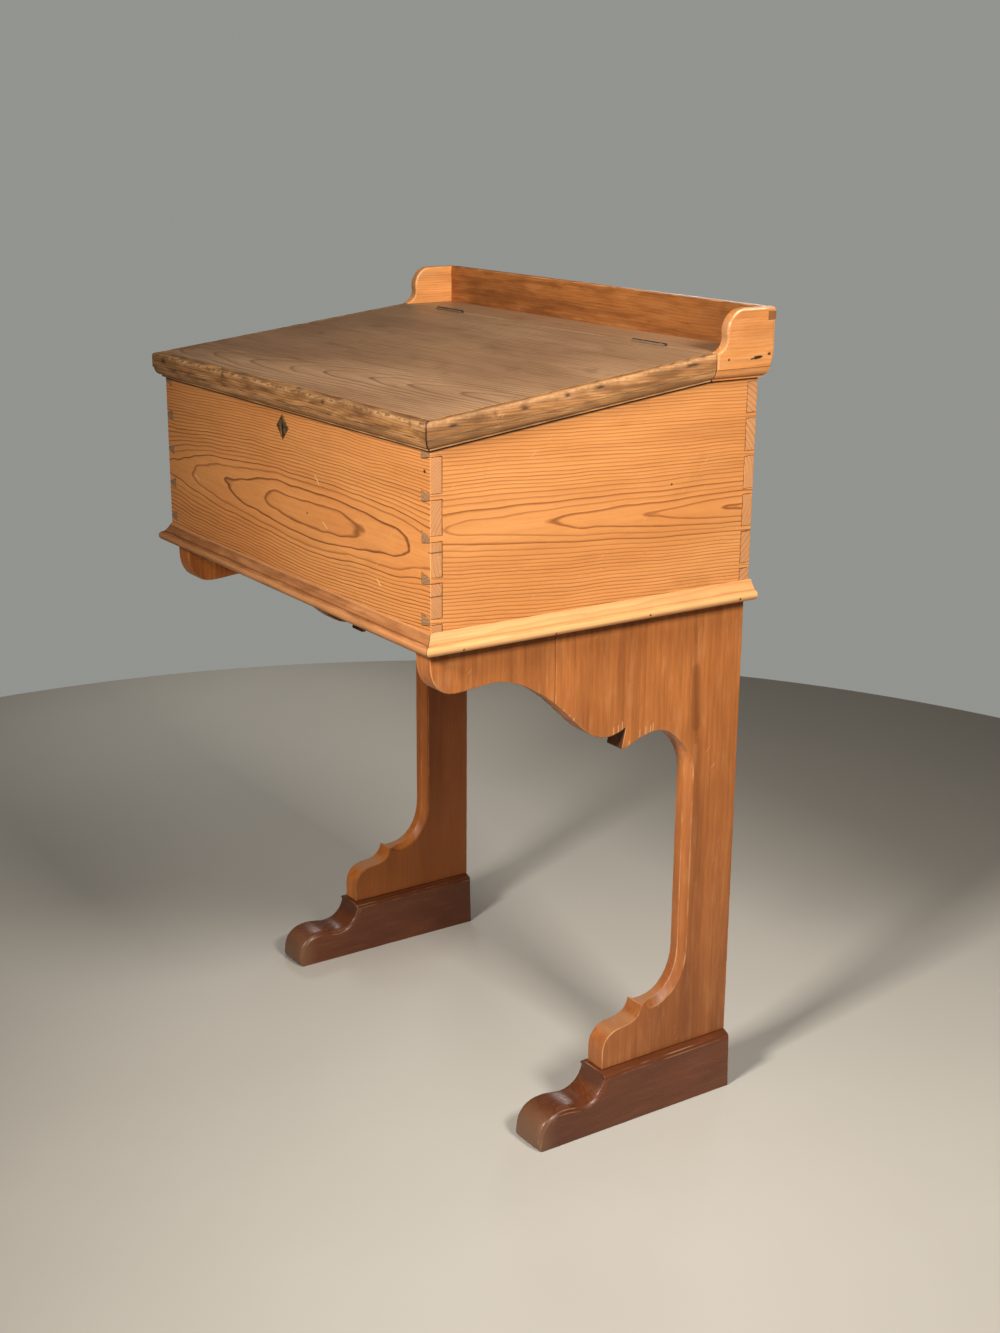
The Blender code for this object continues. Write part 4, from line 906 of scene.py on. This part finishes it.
def rub_corners(name, form, rounded, width, rub):
    """Pushes the rounded corners in, and writes where they are pale and where they are dirty, and
    where shade is painted in the hook and the keyhole.
    """
    chip_and_painted_light, dirt_and_shade = (form.verts.layers.float.new(word) for word in ("chip_and_painted_light", "dirt_and_shade"))
    form.normal_update()
    rounded_points = {v for v in form.verts if rounded.issuperset(v.link_faces)}
    for vert in {v for face in rounded for v in face.verts}:
        if vert in rounded_points:
            wear = limit(LEAST_RUB + rub * 2 * ragged(vert.co, RUB_PITCH))
            vert[chip_and_painted_light] = limit(wear * rub * 2)
            vert.co -= vert.normal * wear * width * RUB_DEPTH
        if name in JOINTS and vert in rounded_points and JOINTS[name](vert.co):
            dirt = LEAST_DIRT + (1 - LEAST_DIRT) * ragged(vert.co, DIRT_PITCH)
            vert[chip_and_painted_light], vert[dirt_and_shade] = 0.0, limit(dirt)
        # Painted shade inside the hook under the apron
        if "leg" in name and (vert.co - HOOK).yz.length < HOOK_REACH and vert.normal.y < -0.3:
            inside = max(abs(face.normal.x) for face in vert.link_faces) < 0.9
            vert[chip_and_painted_light], vert[dirt_and_shade] = (0.0, HOOK_SHADE) if inside else (vert[chip_and_painted_light], vert[dirt_and_shade])
        # Painted shade inside the keyhole
        aside = vert.co - KEYHOLE
        if FRONT_FACE < vert.co.y < 0 and math.hypot(aside.x, aside.z) < KEYHOLE_REACH:
            vert[chip_and_painted_light], vert[dirt_and_shade] = 0.0, 1.0


def eased(name, width=0.0008, rub=0.35):
    """A copy of a solid with rounded, unevenly rubbed corners, which stands for that solid."""
    form = joined_copy(name, name in WHOLE)
    cut_corners(form)
    stays_sharp = SHARP.get(name, lambda at: False)
    corners = [e for e in corners_of(form) if not all(stays_sharp(v.co) for v in e.verts)]
    made = bmesh.ops.bevel(form, geom=corners, offset=width, offset_type="OFFSET",
                           segments=3, profile=0.5, affect="EDGES", clamp_overlap=False)
    rub_corners(name, form, set(made["faces"]), width, rub)
    bmesh.ops.triangulate(form, faces=[f for f in form.faces if len(f.verts) > 4],
                          ngon_method="EAR_CLIP")
    return finished(name + "_eased", form, name)


STRIPS = [f"lid_moulding_{side}" for side in ("front", "left", "right")]
# How wide a piece's corners are rounded, and how strongly they are rubbed
RUBBED = {"gallery_left_end": (0.0022, 0.5), "gallery_right_end": (0.0022, 0.75),
          "gallery_back": (0.0014, 0.6), "base_moulding_front": (0.0005, 0.5),
          "base_moulding_left": (0.0005, 0.35), "base_moulding_right": (0.0005, 0.35),
          "left_cleat": (0.0004, 0.35), "right_cleat": (0.0004, 0.35),
          "left_foot": (0.0010, 0.6), "right_foot": (0.0010, 0.6), "escutcheon": (0.0006, 0.8)}
RUBBED |= {f"{side}_leg_{board}_board": (0.0013, 0.38)
           for side in ("left", "right") for board in ("front", "rear")}
pieces = {name: eased(name, *RUBBED.get(name, ()))
          for name in [*woods, "escutcheon"] if name not in STRIPS}
print("eased pieces:", len(pieces), "faces:", sum(len(p.data.polygons) for p in pieces.values()))

# %% [markdown]
# ## The lid's battered strips
# Three moulded strips frame the lid, and a century of elbows, books and rulers went over them.
# Their upper edge is rubbed ragged and pale, and the right one has dark gouges. Bump alone would
# leave the outline straight, so the strips are cut into a fine net and its points are moved in.

# %% Cut a strip into a fine net
STRIP_CUTS, PROFILE_CUTS, PROFILE_EDGE, LONG_EDGE = 260, 4, 0.005, 0.1


def fine_net(name):
    """A copy of a strip, cut finely along its length and round its profile."""
    form = joined_copy(name, whole=True)
    short = [e for e in form.edges if PROFILE_EDGE < e.calc_length() < LONG_EDGE]
    bmesh.ops.subdivide_edges(form, edges=short, cuts=PROFILE_CUTS, use_grid_fill=True)
    long = [e for e in form.edges if e.calc_length() > LONG_EDGE]
    bmesh.ops.subdivide_edges(form, edges=long, cuts=STRIP_CUTS, use_grid_fill=True)
    bmesh.ops.triangulate(form, faces=[f for f in form.faces if len(f.verts) > 4])
    return form


print("cuts along a strip:", STRIP_CUTS)

# %% [markdown]
# A point of the net is known by its run along the strip, its drop below the lid's surface and its
# inset behind the strip's face. The wear depends on those three only, so it follows the lid's
# slope. Gouges are soft hollows, and the mitres are dark. The lower roll is painted paler, as
# painted light against the shade under it.

# %% Wear the strips
LID_UP = Vector((0, -math.sin(LID_SLOPE), math.cos(LID_SLOPE)))
WORN_INSET, EDGE_REACH = 0.0105, 0.0058
EDGE_DEPTH, EDGE_DROP, BRUISE_DEPTH, FIBRE_DEPTH = 0.0013, 0.0009, 0.0004, 0.00018
BRUISE_DROP, BELLY_DROP, BELLY_PAINTED_LIGHT = 0.0055, 0.0150, 0.12
STAIN_SHARE, MITRE_DIRT = 0.35, 0.9
# Gouges: place along the strip, height, half length, half height, depth
GOUGES = {
    "front": [(-0.300, 0.876, 0.0080, 0.0022, 0.0012), (-0.129, 0.878, 0.0025, 0.0015, 0.0010),
              (0.118, 0.877, 0.0028, 0.0018, 0.0010), (0.300, 0.879, 0.0040, 0.0016, 0.0010)],
    "left": [(-0.16, 0.884, 0.0060, 0.0018, 0.0012), (0.02, 0.907, 0.0080, 0.0016, 0.0012)],
    "right": [(-0.197, 0.878, 0.0060, 0.0016, 0.0014), (-0.147, 0.886, 0.0022, 0.0014, 0.0012),
              (-0.111, 0.890, 0.0060, 0.0018, 0.0016), (-0.056, 0.899, 0.0035, 0.0015, 0.0014),
              (-0.012, 0.903, 0.0070, 0.0017, 0.0016), (0.1125, 0.9185, 0.0110, 0.0020, 0.0012)],
}
# How pale the upper edge is, and the pitch and the share of its dark chips
WEAR = {"front": (0.35, 0.006, 0.10), "left": (0.5, 0.014, -0.2), "right": (0.40, 0.020, -0.5)}
OUTWARD = {"front": Vector((0, -1, 0)), "left": Vector((-1, 0, 0)), "right": Vector((1, 0, 0))}


def battered(name, outward, gouges, seed, wear):
    """A strip with a ragged upper edge, gouges, raised fibres and painted light on its lower roll.
    """
    form = fine_net(name)
    run_axis = 1 if abs(outward.x) > 0.5 else 0
    chip_and_painted_light, dirt_and_shade = (form.verts.layers.float.new(word) for word in ("chip_and_painted_light", "dirt_and_shade"))
    form.normal_update()
    mitre = {v for face in form.faces if abs(face.normal[run_axis]) > 0.5
             and abs(face.normal.dot(outward)) > 0.5 for v in face.verts}
    reach = max(v.co.dot(outward) for v in form.verts)
    pale, stain_pitch, stain_bias = wear
    for vert in form.verts:
        place = vert.co.copy()
        run, drop = place[run_axis], (HINGE - place).dot(LID_UP)
        inset = reach - place.dot(outward)
        if inset > WORN_INSET:
            continue
        edge = limit(1.15 - math.hypot(drop, inset) / EDGE_REACH)
        spot = Vector((run, seed, 0))
        rubbed = limit(0.45 + 0.9 * ragged(spot, 0.017))
        below = limit(1 - abs(drop - BRUISE_DROP - 0.002 * ragged(spot, 0.03)) / 0.0035)
        bruise = below * limit(2.2 * ragged(Vector((run, seed + 3, drop * 3)), 0.012) - 0.25)
        pull = EDGE_DEPTH * edge * rubbed + BRUISE_DEPTH * bruise
        for middle, height, half_run, half_height, depth in gouges:
            near = ((run - middle) / half_run) ** 2 + ((place.z - height) / half_height) ** 2
            hole = math.exp(-near)
            pull += depth * hole
            vert[dirt_and_shade] = max(vert[dirt_and_shade], limit(1.3 * hole))
        fibre = noise.noise(Vector((run * 40, drop * 700, seed)))
        stain = edge * limit(2.4 * ragged(Vector((run, seed + 7, 0)), stain_pitch) + stain_bias)
        belly = limit((drop - BELLY_DROP) / 0.002)
        # The lower roll is painted paler: painted light against its own shade
        vert[chip_and_painted_light] = max(limit(edge * (0.45 + 0.4 * rubbed)) * pale, BELLY_PAINTED_LIGHT * belly)
        vert[dirt_and_shade] = max(vert[dirt_and_shade], STAIN_SHARE * bruise, STAIN_SHARE * stain)
        if vert in mitre:
            vert[chip_and_painted_light], vert[dirt_and_shade] = 0.0, MITRE_DIRT
        inwards = outward * (pull + FIBRE_DEPTH * limit(0.5 + fibre))
        vert.co -= inwards + LID_UP * EDGE_DROP * edge * rubbed
    return finished(name + "_battered", form, name)


for seed, (side, outward) in enumerate(OUTWARD.items()):
    name = f"lid_moulding_{side}"
    pieces[name] = battered(name, outward, GOUGES[side], 5.0 + seed, WEAR[side])
    print(name, "points:", len(pieces[name].data.vertices))

# %% [markdown]
# ## Floor
# The desk stands on a plain pale floor. A single huge plane would run up to the horizon behind
# the lid, so the floor is a round disc that ends behind the desk, where the backdrop begins.

# %% Lay the floor
FLOOR_RADIUS = 1.75
floor_form = bmesh.new()
bmesh.ops.create_circle(floor_form, cap_ends=True, segments=160, radius=FLOOR_RADIUS)
floor_mesh = bpy.data.meshes.new("floor")
floor_form.to_mesh(floor_mesh)
floor_form.free()
floor = bpy.data.objects.new("floor", floor_mesh)
floor.location.z = solid_box[0].z
bpy.context.scene.collection.objects.link(floor)

pale = Finish(bpy.data.materials.new("pale floor"))
ground = pale.node("TexCoord", out="Object")
patch = pale.node("TexNoise", None, {"Vector": ground, "Scale": 3.0, "Detail": 4.0})
floor.data.materials.append(pale.dress({
    "Base Color": blend(patch, colour(188, 182, 170), colour(196, 190, 179)),
    "Roughness": 0.55 + patch * 0.1}))
print("floor at", round(floor.location.z, 4))
